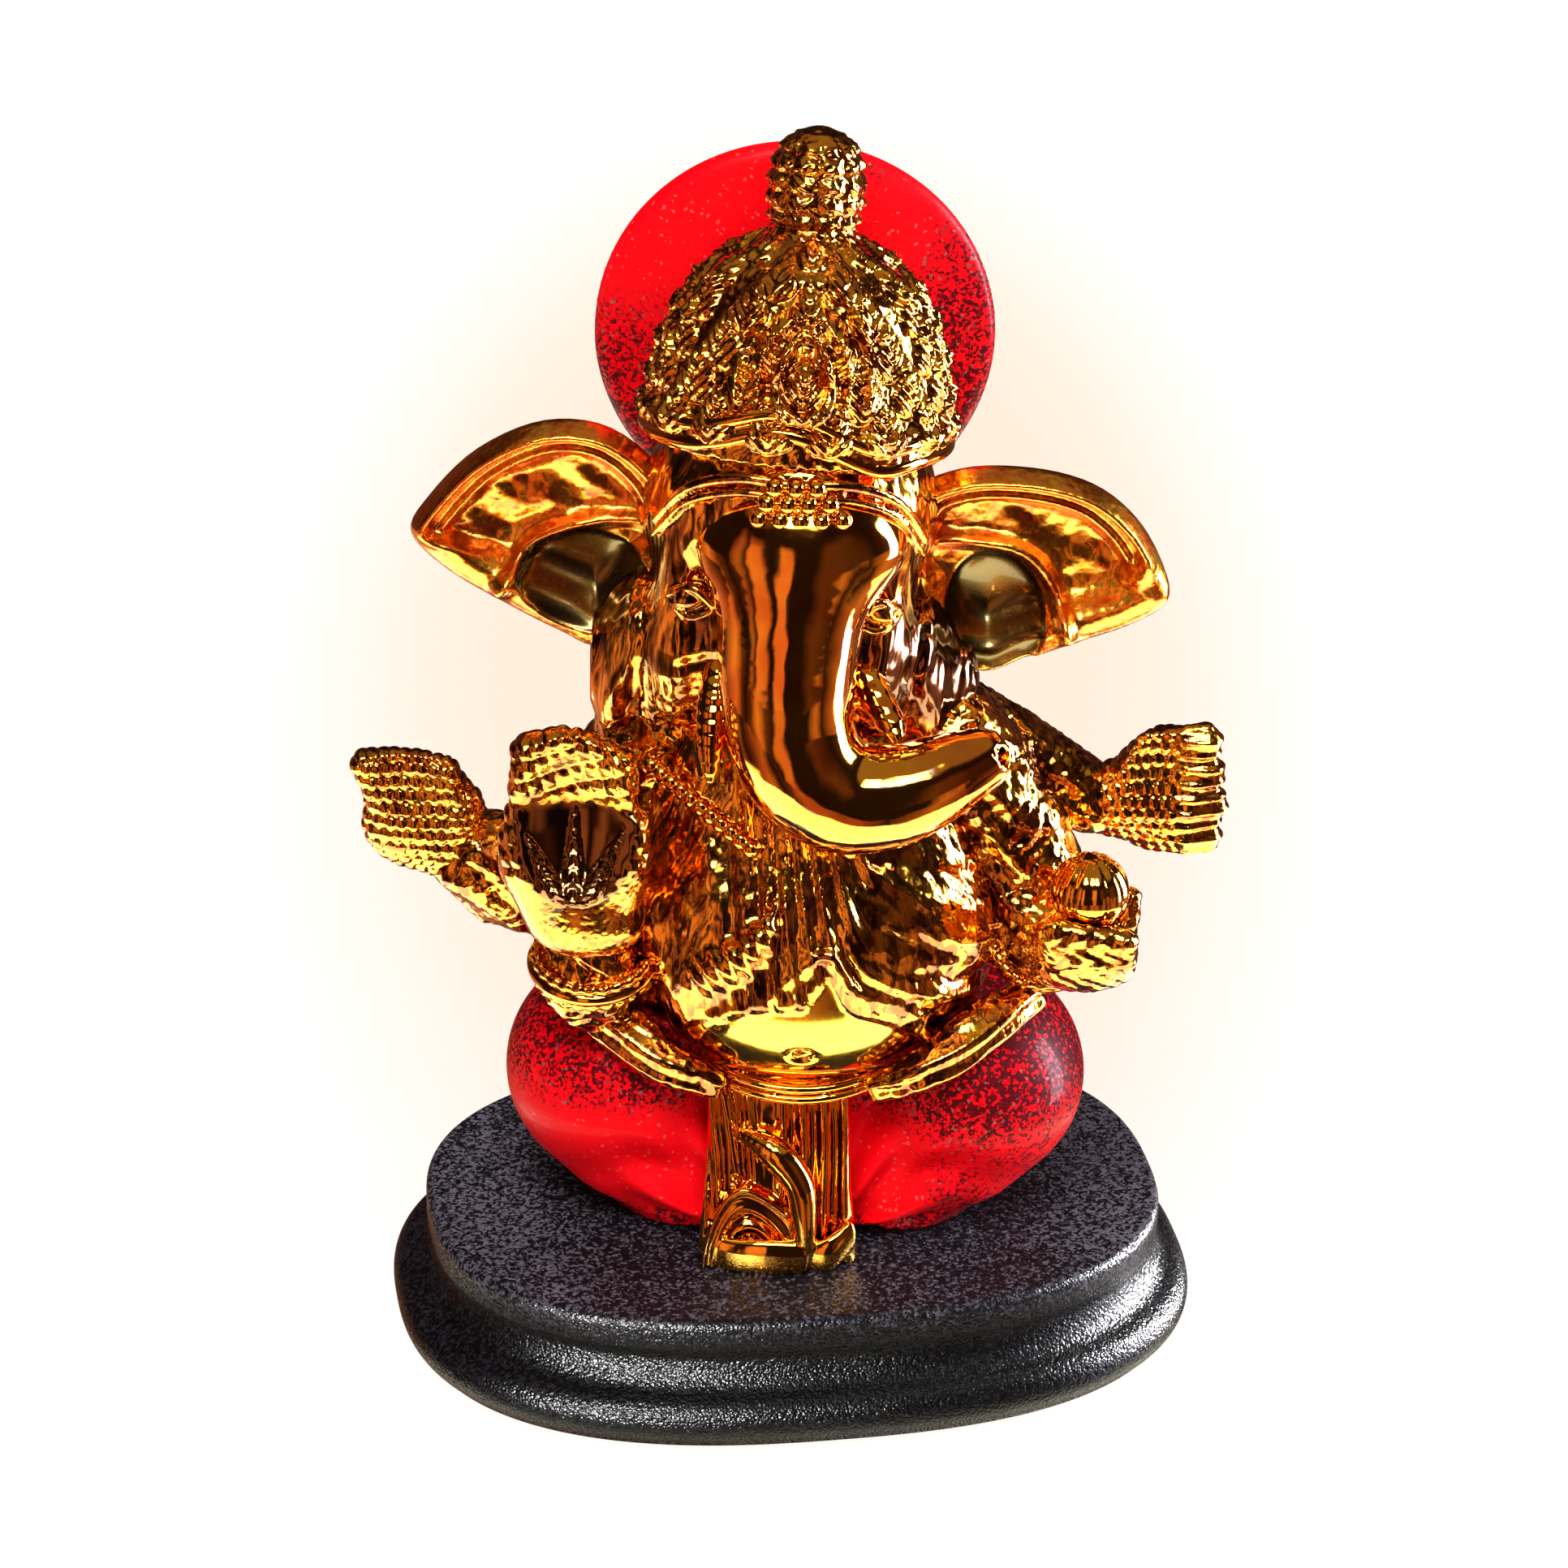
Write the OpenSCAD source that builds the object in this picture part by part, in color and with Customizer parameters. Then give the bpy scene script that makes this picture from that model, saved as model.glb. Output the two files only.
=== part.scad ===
// Seated elephant-headed idol on a black oval plinth, in millimetres.
// +Z is up and the plinth's long side faces -Y. The origin is the centre of the plinth's resting plane.
// Left and right are the figure's own: its right side is at -X. The figure's modules are drawn with
// their origin on the plinth's top face, and seat() sets them there.

/* [Plinth] */
// Overall width of the plinth at its lower moulding
plinth_w = 95; // [88:1:104]
// Depth of the plinth as a share of its width
plinth_ratio = 0.73; // [0.73:0.01:0.8]
// Height of the plinth, with the felt pad that it stands on
plinth_h = 16; // [15:1:20]
// How far the upper tier is set in from the lower moulding
tier_inset = 4; // [3:0.5:5]
// Thickness of the felt pad under the plinth
felt_t = 1.2; // [1:0.1:1.6]

/* [Figure] */
// Height of the figure above the plinth
figure_h = 130; // [120:1:134]
// How far the figure is turned on its plinth, towards its own right
figure_turn = 10; // [0:1:14]
// Radius of the halo disc
halo_r = 23; // [20:0.5:24]
// Thickness of the halo disc at its middle
halo_t = 6; // [5:0.5:7]

/* [Fixings] */
// Distance between the two screws that hold the figure to the plinth
screw_spacing = 26; // [22:1:30]
// Radius of those screws
screw_r = 1.5; // [1.5:0.25:2]
// Radius of the plain dowels that locate one casting on the next
dowel_r = 1.5; // [1.25:0.25:2]

/* [Hidden] */

gold = [0.90, 0.66, 0.16];
red = [0.78, 0.03, 0.06];
black = [0.03, 0.03, 0.035];
steel = [0.62, 0.63, 0.65];

k = figure_h / 130;          // every figure length is drawn for a 130 mm figure and scaled by this
fine_fn = 72;                // sides drawn on a round that is rebuilt as a true one
body_fn = 16;                // facets round a ball that shapes the head and body
limb_fn = 12;                // facets round a ball along a limb
room = 0.06;                 // radial room round a dowel or insert in its hole

felt_proud = 0.4;            // how far the felt stands below the plinth's rim
tier_drop = 0.26 * plinth_h; // height of the straight edge of the upper tier
blunt = 2.5;                 // 2 makes the plinth an ellipse, and more makes it squarer
washer_r = 2.3 * screw_r;
washer_t = 0.8;
counterbore_h = felt_proud + felt_t + 3.2;
insert_r = 1.7 * screw_r;
insert_l = 8;

// The seated body.
belly_at = [0.5, -3, 38];
belly_size = [23.5, 18, 18];
pot_at = [0.5, -4.5, 30.5];
pot_size = [17, 15.8, 12.5];
chest_at = [0, 0, 56];
chest_size = [19, 12, 11];
knee_at = [20, -1, 16];
knee_size = [14, 15, 13.5];
heel_at = [12.5, -1.5, 6];
heel_size = [12.5, 13, 9];
lap_at = [2, -1, 12];
lap_size = [12, 11, 11];
belt_at = [0, -2.5, 21.5];
belt_z = belt_at[2];
belt_r = 13.6;
dowel_x = 8;                 // the two torso dowels stand this far from the middle

// The head, from its own origin at the neck.
neck_at = [-3.5, 0, 62];
head_tilt = 3.5;             // sideways, towards the figure's left
skull_at = [0, 0, 24];
skull_size = [16.8, 15.6, 19.5];
cheek_at = [8.5, -7, 11];
cheek_size = [8, 7, 9];
jowl_at = [15.5, 0, 5];
jowl_size = [7.5, 8, 9.5];
brow_at = [0, -7, 27];
brow_size = [12.5, 8.5, 8];
crown_at = [0, 1, 33];       // middle of the crown's underside
crown_lean = 10;             // backwards
band_h = 3.5;
finial_z = 23;               // height of the finial's foot above the crown's underside
halo_at = [-0.7, 20, 38.6];   // middle of the back of the halo disc

// Middle line and radius along each limb: [x, y, z, r].
trunk_line = [[-0.9, -8.8, 88, 8.4], [-1.5, -13.6, 81, 8.2], [-1.9, -16.7, 73.4, 7.6], [-1.5, -18, 68, 7.2],
    [0.4, -19, 63.6, 6.9], [4.4, -19.4, 60.6, 6.5], [10, -19.4, 60.6, 5.8], [15.2, -18.4, 62.4, 4.8],
    [19.6, -16.8, 64, 3.6]];
trunk_root_at = [-0.7, -11.4, 87.4];
trunk_root_size = [11.6, 6.8, 6.4];
front_right_line = [[-16.5, 0, 59.5, 7.5], [-22.5, -1.5, 45, 7], [-23, -7.5, 34.5, 6.8],
    [-23.3, -12.6, 33, 6], [-23.6, -13.6, 38, 5.4]];
front_left_line = [[17, -1, 58.5, 7.5], [25, -2, 46, 7], [27, -5, 38.6, 6.4], [30.2, -9.6, 37, 5]];
rear_right_line = [[-16, 4, 58, 7], [-24, 5, 44, 6.4], [-31.5, 4.5, 37.5, 6.8], [-37.2, 3.6, 40.5, 6]];
rear_left_line = [[14, 4, 59, 7], [22, 4, 55.6, 5.8], [28.5, 3.4, 52.4, 5.2], [33, 2.6, 50, 4.4]];

// Outline of each ear in X and Z, from its upper root round the tip to its lower root.
ear_right_outline = [[-16, 90], [-22, 95.5], [-29.5, 96.3], [-37, 92.8], [-42.5, 87], [-44, 82.5],
    [-40.5, 78], [-34, 74], [-28, 70.8], [-23, 69.6], [-17, 74], [-14, 82]];
ear_left_outline = [[11.5, 88], [17, 91.5], [25, 91.8], [32, 90], [37, 86], [40.2, 80.5], [40.6, 76],
    [37, 73], [31, 70.6], [26, 68.6], [20.5, 67.5], [13.5, 70], [10, 78]];
ear_y = 1.5;

sweet_at = [32.8, -13.6, 46.2];
sweet_r = 4.5;

// Fingers: [knuckle, tip, radius].
front_right_fingers = [for (i = [0 : 3])
    [[-30.2 + 3.1 * i, -15.5, 57], [-30.6 + 3.3 * i, -16.5, 63 + 1.6 * sin(40 + 50 * i)], 2.3]];
rear_right_fingers = [for (i = [0 : 3])
    [[-46.5 + 2.4 * i, 2.4, 47.5 + 0.4 * i], [-50.6 + 3.4 * i, 1.8, 52.2 + 1.1 * sin(50 + 40 * i)], 2]];
rear_left_fingers = [for (i = [0 : 3])
    [[42, 2, 46.6 + 3.5 * i], [47.6 - 0.5 * abs(i - 1), 1.6, 45.2 + 4.4 * i], 2.2]];
front_left_fingers = [for (i = [0 : 3])
    [[29.4 + 2.2 * i, -15.5, 37.5], [28.6 + 2.7 * i, -18, 43.4 - 0.4 * i], 1.9]];

// One point of a smooth curve between b and c.
function between(a, b, c, d, t) = 0.5 * (2 * b + (c - a) * t + (2 * a - 5 * b + 4 * c - d) * t * t
    + (3 * b - a - 3 * c + d) * t * t * t);
function smooth_line(pts, steps) = [
    for (i = [0 : len(pts) - 2], s = [0 : steps - 1])
        between(pts[max(i - 1, 0)], pts[i], pts[i + 1], pts[min(i + 2, len(pts) - 1)], s / steps),
    pts[len(pts) - 1]
];
function smooth_ring(pts, steps) = [
    for (i = [0 : len(pts) - 1], s = [0 : steps - 1])
        let (n = len(pts))
        between(pts[(i + n - 1) % n], pts[i], pts[(i + 1) % n], pts[(i + 2) % n], s / steps)
];
// One point of the plinth's blunt oval, with its half width and its angle.
function oval(w, a, z) = [
    w * sign(cos(a)) * pow(abs(cos(a)), 2 / blunt),
    w * plinth_ratio * sign(sin(a)) * pow(abs(sin(a)), 2 / blunt),
    z
];

function sum(v, i = 0) = i < len(v) ? v[i] + sum(v, i + 1) : 0;

module ball(at, r, fn = limb_fn) {
    translate(at) sphere(r, $fn = fn);
}
module pebble(at, size, fn = body_fn) {
    translate(at) scale(size) sphere(1, $fn = fn);
}
// A round limb of changing radius along its middle line.
module limb(line, steps = 3, fn = limb_fn) {
    path = smooth_line(line, steps);
    for (i = [0 : len(path) - 2]) hull() {
        ball([path[i][0], path[i][1], path[i][2]], path[i][3], fn);
        ball([path[i + 1][0], path[i + 1][1], path[i + 1][2]], path[i + 1][3], fn);
    }
}
// Fingers in two bones each, the second bent on from the first.
module digits(list) {
    for (f = list) {
        middle = (f[0] + f[1]) / 2 + [0, -0.5, 0];
        hull() {
            ball(f[0], f[2], 10);
            ball(middle, f[2], 10);
        }
        hull() {
            ball(middle, f[2], 10);
            ball(f[1], f[2] * 0.85, 10);
        }
    }
}
module seat() {
    translate([0, 0, plinth_h]) rotate([0, 0, -figure_turn]) scale(k) children();
}
module on_neck() {
    translate(neck_at) rotate([0, head_tilt, 0]) children();
}
module on_crown() {
    on_neck() translate(crown_at) rotate([-crown_lean, 0, 0]) children();
}
module both_sides() {
    children();
    mirror([1, 0, 0]) children();
}

// Outer shapes before neighbouring castings are cut to meet each other.
module torso_shape() {
    hull() {
        pebble(belly_at, belly_size);
        pebble(chest_at, chest_size);
    }
    hull() {
        pebble(belly_at, belly_size * 0.8);
        pebble(pot_at, pot_size);
    }
}
module dhoti_shape() {
    intersection() {
        both_sides() hull() {
            pebble(knee_at, knee_size);
            pebble(heel_at, heel_size);
            pebble(lap_at, lap_size);
        }
        translate([-50, -50, 0]) cube([100, 100, 60]);
    }
}
module belt_shape(grow = 0) {
    translate(belt_at) rotate_extrude($fn = grow ? 36 : fine_fn) polygon([
        [belt_r - 3.5 - grow, -1.5 - grow], [belt_r - 0.4 + grow, -1.5 - grow], [belt_r + grow, -1 - grow],
        [belt_r + grow, 1 + grow], [belt_r - 0.4 + grow, 1.5 + grow], [belt_r - 3.5 - grow, 1.5 + grow]
    ]);
}
module head_shape() {
    difference() {
        on_neck() {
            hull() {
                pebble(skull_at, skull_size);
                pebble(brow_at, brow_size);
                both_sides() pebble(cheek_at, cheek_size);
            }
            both_sides() hull() {
                pebble(cheek_at, cheek_size);
                pebble(jowl_at, jowl_size);
            }
        }
        on_crown() translate([-40, -40, 0]) cube([80, 80, 40]);
    }
}
module trunk_shape() {
    limb(trunk_line);
    pebble(trunk_root_at, trunk_root_size);
}
module arms_shape() {
    limb(front_right_line);
    limb(front_left_line);
    limb(rear_right_line);
    limb(rear_left_line);
}
module pleats_shape() {
    hull() {
        translate([-8.6, -16.4, 19.5]) cube([15.2, 7, 2]);
        translate([-8.2, -19, 0]) cube([14.6, 9, 2]);
    }
    for (i = [0 : 6]) hull() {
        translate([-7.4 + 2.15 * i, -16.4, 20.4]) cylinder(r = 1.1, h = 1, $fn = 12);
        translate([-7.2 + 2.1 * i, -19.2 - 0.5 * sin(30 * i), 0]) cylinder(r = 1.3, h = 1, $fn = 12);
    }
}
module front_fold_shape() {
    hull() {
        translate([-1.5, -17.6, 14]) sphere(2, $fn = 16);
        translate([-6.2, -20.2, 2.4]) sphere(2.4, $fn = 16);
        translate([-1, -20.4, 1.9]) sphere(1.9, $fn = 16);
    }
}
module right_palm_shape() {
    hull() {
        pebble([-25.8, -15.6, 50.5], [7.6, 4.4, 8.5], 18);
        pebble([-23.8, -13.8, 41.4], [5.6, 4.4, 3.4], 18);
    }
}
module left_palm_shape() {
    hull() {
        pebble([32.8, -13.6, 38.8], [5.8, 5, 4.6], 18);
        pebble([31, -11.4, 38], [4.4, 4.4, 4.4], 18);
    }
}
module rear_right_palm_shape() {
    hull() {
        pebble([-44.4, 2.8, 45.6], [6.4, 3.6, 6], 18);
        pebble([-39, 3.4, 42], [4.6, 3.8, 4.6], 18);
    }
}
module rear_left_palm_shape() {
    hull() {
        pebble([40.6, 2.2, 51.4], [4.8, 3.4, 7.2], 18);
        pebble([35.4, 2.6, 50], [3.8, 3.6, 4], 18);
    }
}
module bracelet(at, r, turn, line) {
    color(gold) seat() difference() {
        translate(at) rotate(turn) rotate_extrude($fn = 40) translate([r, 0]) circle(1.5, $fn = 14);
        limb(line);
    }
}
module halo_plane() {
    on_neck() translate(halo_at) rotate([90, 0, 0]) children();
}
// A dished leaf with a rolled rim: closed rings that run from the middle of the dish to the back.
module ear(outline) {
    ring = smooth_ring(outline, 2);
    n = len(ring);
    middle = [for (j = [0, 1]) sum([for (p = ring) p[j]]) / n];
    steps = [[0.08, 0.9], [0.5, 0.5], [0.78, -0.4], [0.88, -2], [0.96, -2.4], [1, -1.2], [0.97, 0.6],
        [0.8, 2], [0.4, 2.8], [0.08, 3]];
    points = [for (s = steps, p = ring) let (q = middle + s[0] * (p - middle)) [q[0], ear_y + s[1], q[1]]];
    walls = [
        for (j = [0 : len(steps) - 2], i = [0 : n - 1])
            let (a = j * n + i, b = j * n + (i + 1) % n)
            each [[a, b, b + n], [a, b + n, a + n]]
    ];
    polyhedron(points, concat(walls, [[for (i = [n - 1 : -1 : 0]) i]],
        [[for (i = [0 : n - 1]) (len(steps) - 1) * n + i]]));
}

// The plinth and what fixes the figure to it.
module plinth() {
    w = plinth_w / 2;
    t = w - tier_inset;
    rise = plinth_h - tier_drop - 7;
    profile = [
        [w - 2.4, felt_proud],
        for (a = [-60 : 20 : 60]) [w - 3.2 + 3.2 * cos(a), felt_proud + 3.4 + 3.2 * sin(a)],
        for (a = [10 : 20 : 90]) [w - 1.6 - (tier_inset - 0.8) * sin(a), 6.8 + rise * (1 - cos(a))],
        [t, plinth_h - tier_drop + 0.6], [t, plinth_h - 1.2], [t - 0.35, plinth_h - 0.35], [t - 1.2, plinth_h]
    ];
    sides = 54;
    n = len(profile);
    points = [for (p = profile, i = [0 : sides - 1]) oval(p[0], 360 * i / sides, p[1])];
    walls = [
        for (j = [0 : n - 2], i = [0 : sides - 1])
            let (a = j * sides + i, b = j * sides + (i + 1) % sides)
            each [[a, b + sides, b], [a, a + sides, b + sides]]
    ];
    color(black) difference() {
        polyhedron(points, concat(walls, [[for (i = [0 : sides - 1]) i]],
            [[for (i = [sides - 1 : -1 : 0]) (n - 1) * sides + i]]));
        translate([0, 0, -1]) linear_extrude(1 + felt_t) polygon([for (i = [0 : 71])
            let (p = oval(w - 5.7, 5 * i, 0)) [p[0], p[1]]]);
        rotate([0, 0, -figure_turn]) for (x = [-1, 1]) translate([x * screw_spacing / 2, 0, -1]) {
            cylinder(r = screw_r + 0.2, h = plinth_h + 2, $fn = fine_fn);
            cylinder(r = washer_r + 0.3, h = counterbore_h + 1, $fn = fine_fn);
        }
    }
}
module base_felt() {
    color([0.05, 0.05, 0.05]) linear_extrude(felt_t) polygon([for (i = [0 : 71])
        let (p = oval(plinth_w / 2 - 6, 5 * i, 0)) [p[0], p[1]]]);
}
module plinth_screws() {
    head_z = counterbore_h - washer_t;
    color(steel) rotate([0, 0, -figure_turn]) for (x = [-1, 1]) translate([x * screw_spacing / 2, 0, 0])
        difference() {
            rotate_extrude($fn = fine_fn) polygon([
                [0, head_z - 1.2 * screw_r], [1.5 * screw_r, head_z - 1.2 * screw_r],
                [1.95 * screw_r, head_z - 0.7 * screw_r], [1.95 * screw_r, head_z],
                [screw_r, head_z], [screw_r, plinth_h + insert_l - 1.5],
                [screw_r - 0.5, plinth_h + insert_l - 1], [0, plinth_h + insert_l - 1]
            ]);
            for (a = [0, 90]) rotate([0, 0, a]) translate([-screw_r, -0.3, head_z - 1.2 * screw_r - 1])
                cube([2 * screw_r, 0.6, 1.9]);
        }
}
module screw_washers() {
    color(steel) rotate([0, 0, -figure_turn]) for (x = [-1, 1])
        translate([x * screw_spacing / 2, 0, counterbore_h - washer_t]) difference() {
            cylinder(r = washer_r, h = washer_t, $fn = fine_fn);
            translate([0, 0, -1]) cylinder(r = screw_r + 0.15, h = washer_t + 2, $fn = fine_fn);
        }
}
module dhoti_inserts() {
    color([0.75, 0.6, 0.3]) rotate([0, 0, -figure_turn]) for (x = [-1, 1])
        translate([x * screw_spacing / 2, 0, plinth_h]) difference() {
            cylinder(r = insert_r, h = insert_l, $fn = fine_fn);
            translate([0, 0, -1]) cylinder(r = screw_r + 0.02, h = insert_l + 2, $fn = fine_fn);
        }
}

// The red lower casting: crossed legs under a dhoti.
module dhoti() {
    color(red) seat() difference() {
        dhoti_shape();
        belt_shape(0.05);
        pleats_shape();
        limb(front_right_line);
        translate([-40, -40, belt_z + 1.5]) intersection() {
            cube([80, 80, 30]);
            translate([40, 40, -belt_z - 1.5]) torso_shape();
        }
        for (x = [-1, 1]) translate([x * screw_spacing / 2 / k, 0, -1])
            cylinder(r = (insert_r + room) / k, h = (insert_l + 0.3) / k + 1, $fn = 36);
        for (x = [-dowel_x, dowel_x]) translate([x, 0, belt_z - 9])
            cylinder(r = dowel_r + room, h = 30, $fn = 36);
    }
}
module dhoti_pleats() {
    color(gold) seat() difference() {
        union() {
            pleats_shape();
            front_fold_shape();
        }
        belt_shape(0.05);
    }
}
module waist_belt() {
    color(gold) seat() belt_shape();
}

// The gold upper casting and what lies on it.
module torso() {
    color(gold) seat() difference() {
        torso_shape();
        translate([-50, -50, -1]) cube([100, 100, belt_z + 1]);
        belt_shape(0.05);
        arms_shape();
        trunk_shape();
        for (x = [-dowel_x, dowel_x]) translate([x, 0, 0])
            cylinder(r = dowel_r + room, h = belt_z + 7, $fn = 36);
        translate([neck_at[0], 0, 54]) cylinder(r = dowel_r + room, h = 30, $fn = 36);
    }
}
module torso_dowels() {
    color(steel) seat() for (x = [-dowel_x, dowel_x]) translate([x, 0, belt_z - 8.5])
        cylinder(r = dowel_r, h = 15, $fn = fine_fn);
}
module neck_dowel() {
    color(steel) seat() translate([neck_at[0], 0, 54.5]) cylinder(r = dowel_r, h = 20, $fn = fine_fn);
}
module sash(line) {
    difference() {
        for (y = [-1.6, 1.2]) translate([0, y, 0]) limb(line, 2, 10);
        dhoti_shape();
        torso_shape();
        pleats_shape();
        belt_shape(0.05);
        arms_shape();
    }
}
module sash_right() {
    color(gold) seat()
        sash([[-26.5, -8, 29.5, 3], [-21.5, -12.5, 28, 3.2], [-15.5, -16, 25, 3], [-10, -17, 22.5, 2.2]]);
}
module sash_left() {
    color(gold) seat()
        sash([[25.5, -8, 29.5, 3], [20.5, -12.5, 28, 3.2], [15, -16, 25, 3], [10, -17, 22.5, 2.2]]);
}
module necklace() {
    color(gold) seat() difference() {
        union() {
            for (side = [-1, 1], i = [0 : 8])
                hull() for (j = [i, i + 1])
                    ball([side * (17.5 - 1.6 * j), -9.2 - 0.75 * j, 58.5 - 0.95 * j],
                        1.5 + 0.3 * (j % 2), 10);
        }
        torso_shape();
        trunk_shape();
        arms_shape();
        head_shape();
    }
}

// The head and its parts.
module head() {
    color(gold) seat() difference() {
        head_shape();
        torso_shape();
        arms_shape();
        trunk_shape();
        translate([neck_at[0], 0, 50]) cylinder(r = dowel_r + room, h = 25, $fn = 36);
        on_crown() translate([0, 0, -9]) cylinder(r = dowel_r + room, h = 20, $fn = 36);
    }
}
module trunk() {
    color(gold) seat() trunk_shape();
}
module ear_right() {
    color(gold) seat() difference() {
        ear(ear_right_outline);
        head_shape();
        torso_shape();
        arms_shape();
    }
}
module ear_left() {
    color(gold) seat() difference() {
        ear(ear_left_outline);
        head_shape();
        torso_shape();
        arms_shape();
    }
}
module tusk(line) {
    color(gold) seat() difference() {
        limb(line, 2, 12);
        trunk_shape();
        head_shape();
        torso_shape();
    }
}
module tusk_right() {
    tusk([[-9.5, -13, 72, 2], [-10, -15.5, 69, 1.9], [-10.2, -17.5, 66, 1.6], [-10.2, -18.8, 63.5, 1],
        [-10.2, -19.4, 62.2, 0.6]]);
}
module tusk_left() {
    tusk([[6.8, -13, 72, 2], [8.4, -15.5, 70, 1.9], [9.6, -17.5, 68.6, 1.6], [10.2, -18.8, 67.8, 1],
        [10.5, -19.4, 67.4, 0.6]]);
}
module forehead_jewel() {
    color(gold) seat() difference() {
        for (row = [0 : 2], i = [0 : 4 - row]) hull() for (y = [-13.5, -17.2])
            ball([-0.8 + 2.25 * (i - (4 - row) / 2) - 0.3 * row, y + 0.25 * row, 92.4 + 1.8 * row], 1.3, 8);
        trunk_shape();
        head_shape();
        on_crown() translate([-40, -40, 0]) cube([80, 80, 40]);
    }
}
module crown_round(profile) {
    on_crown() rotate_extrude($fn = fine_fn) polygon(profile);
}
module crown_shape() {
    crown_round([[0, band_h], [16.2, band_h], [15.6, 7], [14.8, 10.5], [13.6, 14], [12.2, 17],
        [10, 19.6], [7.2, 21.6], [5.6, finial_z], [0, finial_z]]);
}
module band_shape() {
    crown_round([[0, 0], [16.6, 0], [17.4, 0.8], [17.4, band_h - 0.8], [16.6, band_h], [0, band_h]]);
}
module post_bore() {
    halo_plane() translate([0, -2, -1.5 - room]) cylinder(r = 2.5 + room, h = 7.6 + room, $fn = fine_fn);
}
module crown_bore(top) {
    on_crown() translate([0, 0, -1]) cylinder(r = dowel_r + room, h = top + 1, $fn = fine_fn);
}
module crown_band() {
    color(gold) seat() difference() {
        band_shape();
        crown_bore(band_h + 1);
    }
}
module crown() {
    color(gold) seat() difference() {
        crown_shape();
        crown_bore(finial_z + 1);
        post_bore();
    }
}
module crown_finial() {
    color(gold) seat() difference() {
        on_crown() rotate_extrude($fn = fine_fn) polygon([
            [0, finial_z], [4.9, finial_z], [5.4, 25.5], [5.5, 28],
            [5.2, 30.5], [4.3, 32.8], [2.6, 34.4], [0, 35]
        ]);
        crown_bore(finial_z + 6);
    }
}
module crown_dowel() {
    color(steel) seat() on_crown() translate([0, 0, -8])
        cylinder(r = dowel_r, h = finial_z + 13, $fn = fine_fn);
}
// The halo is a domed red disc in a shallow gold dish, on a post from the back of the head.
module halo() {
    color(red) seat() difference() {
        halo_plane() rotate_extrude($fn = fine_fn) polygon([
            [0, 0], for (a = [-60 : 30 : 60]) [halo_r - 1.5 + 1.5 * cos(a), 1.3 + 1.5 * sin(a)],
            for (s = [0.8 : -0.2 : 0]) [halo_r * s, 2.6 + (halo_t - 2.6) * (1 - s * s)]
        ]);
        crown_shape();
        band_shape();
        head_shape();
        post_bore();
    }
}
module halo_back() {
    color(gold) seat() difference() {
        halo_plane() translate([0, 0, -2.2])
            cylinder(r1 = halo_r - 4, r2 = halo_r - 1.2, h = 2.2, $fn = fine_fn);
        post_bore();
    }
}
module halo_post() {
    color(steel) seat() halo_plane() translate([0, -2, -1.5]) cylinder(r = 2.5, h = 7.4, $fn = fine_fn);
}

// The four arms and what they hold.
module rear_right_arm() {
    color(gold) seat() difference() {
        limb(rear_right_line);
        rear_right_palm_shape();
        limb(front_right_line);
    }
}
module rear_right_hand() {
    color(gold) seat() difference() {
        union() {
            rear_right_palm_shape();
            digits(rear_right_fingers);
            hull() {
                ball([-40, 1.6, 45], 2, 12);
                ball([-38.2, 1, 48.6], 1.6, 12);
            }
        }
        right_palm_shape();
    }
}
module rear_left_arm() {
    color(gold) seat() difference() {
        limb(rear_left_line);
        rear_left_palm_shape();
        limb(front_left_line);
    }
}
module rear_left_hand() {
    color(gold) seat() {
        rear_left_palm_shape();
        digits(rear_left_fingers);
        hull() {
            ball([38.4, 0.8, 54], 2, 12);
            ball([39.6, -0.4, 58.4], 1.6, 12);
        }
    }
}
module front_right_arm() {
    color(gold) seat() difference() {
        limb(front_right_line);
        right_palm_shape();
    }
}
module front_right_bracelet() {
    bracelet([-23.5, -13.2, 35.8], 6, [14, 0, 0], front_right_line);
}
module front_right_hand() {
    color(gold) seat() {
        right_palm_shape();
        digits(front_right_fingers);
        hull() {
            ball([-20, -16, 48], 2.6, 12);
            ball([-19.2, -17.4, 55], 2, 12);
        }
    }
}
module front_left_arm() {
    color(gold) seat() difference() {
        limb(front_left_line);
        left_palm_shape();
    }
}
module front_left_bracelet() {
    bracelet([28.4, -7.4, 37.8], 6.2, [70, 0, 34], front_left_line);
}
module front_left_hand() {
    color(gold) seat() difference() {
        union() {
            left_palm_shape();
            digits(front_left_fingers);
            hull() {
                ball([36.6, -12, 40], 2, 12);
                ball([37.6, -12.4, 45], 1.7, 12);
            }
        }
        ball(sweet_at, sweet_r + 0.05, 20);
    }
}
module sweet() {
    color(gold) seat() ball(sweet_at, sweet_r, fine_fn);
}

plinth();
base_felt();
plinth_screws();
screw_washers();
dhoti_inserts();
dhoti();
dhoti_pleats();
waist_belt();
torso();
torso_dowels();
sash_right();
sash_left();
necklace();
head();
neck_dowel();
trunk();
ear_right();
ear_left();
tusk_right();
tusk_left();
forehead_jewel();
crown_band();
crown();
crown_finial();
crown_dowel();
halo();
halo_back();
halo_post();
rear_right_arm();
rear_right_hand();
rear_left_arm();
rear_left_hand();
front_right_arm();
front_right_bracelet();
front_right_hand();
front_left_arm();
front_left_bracelet();
front_left_hand();
sweet();
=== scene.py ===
import math
import bmesh
import bpy
import numpy as np
from mathutils import Matrix, Vector


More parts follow.
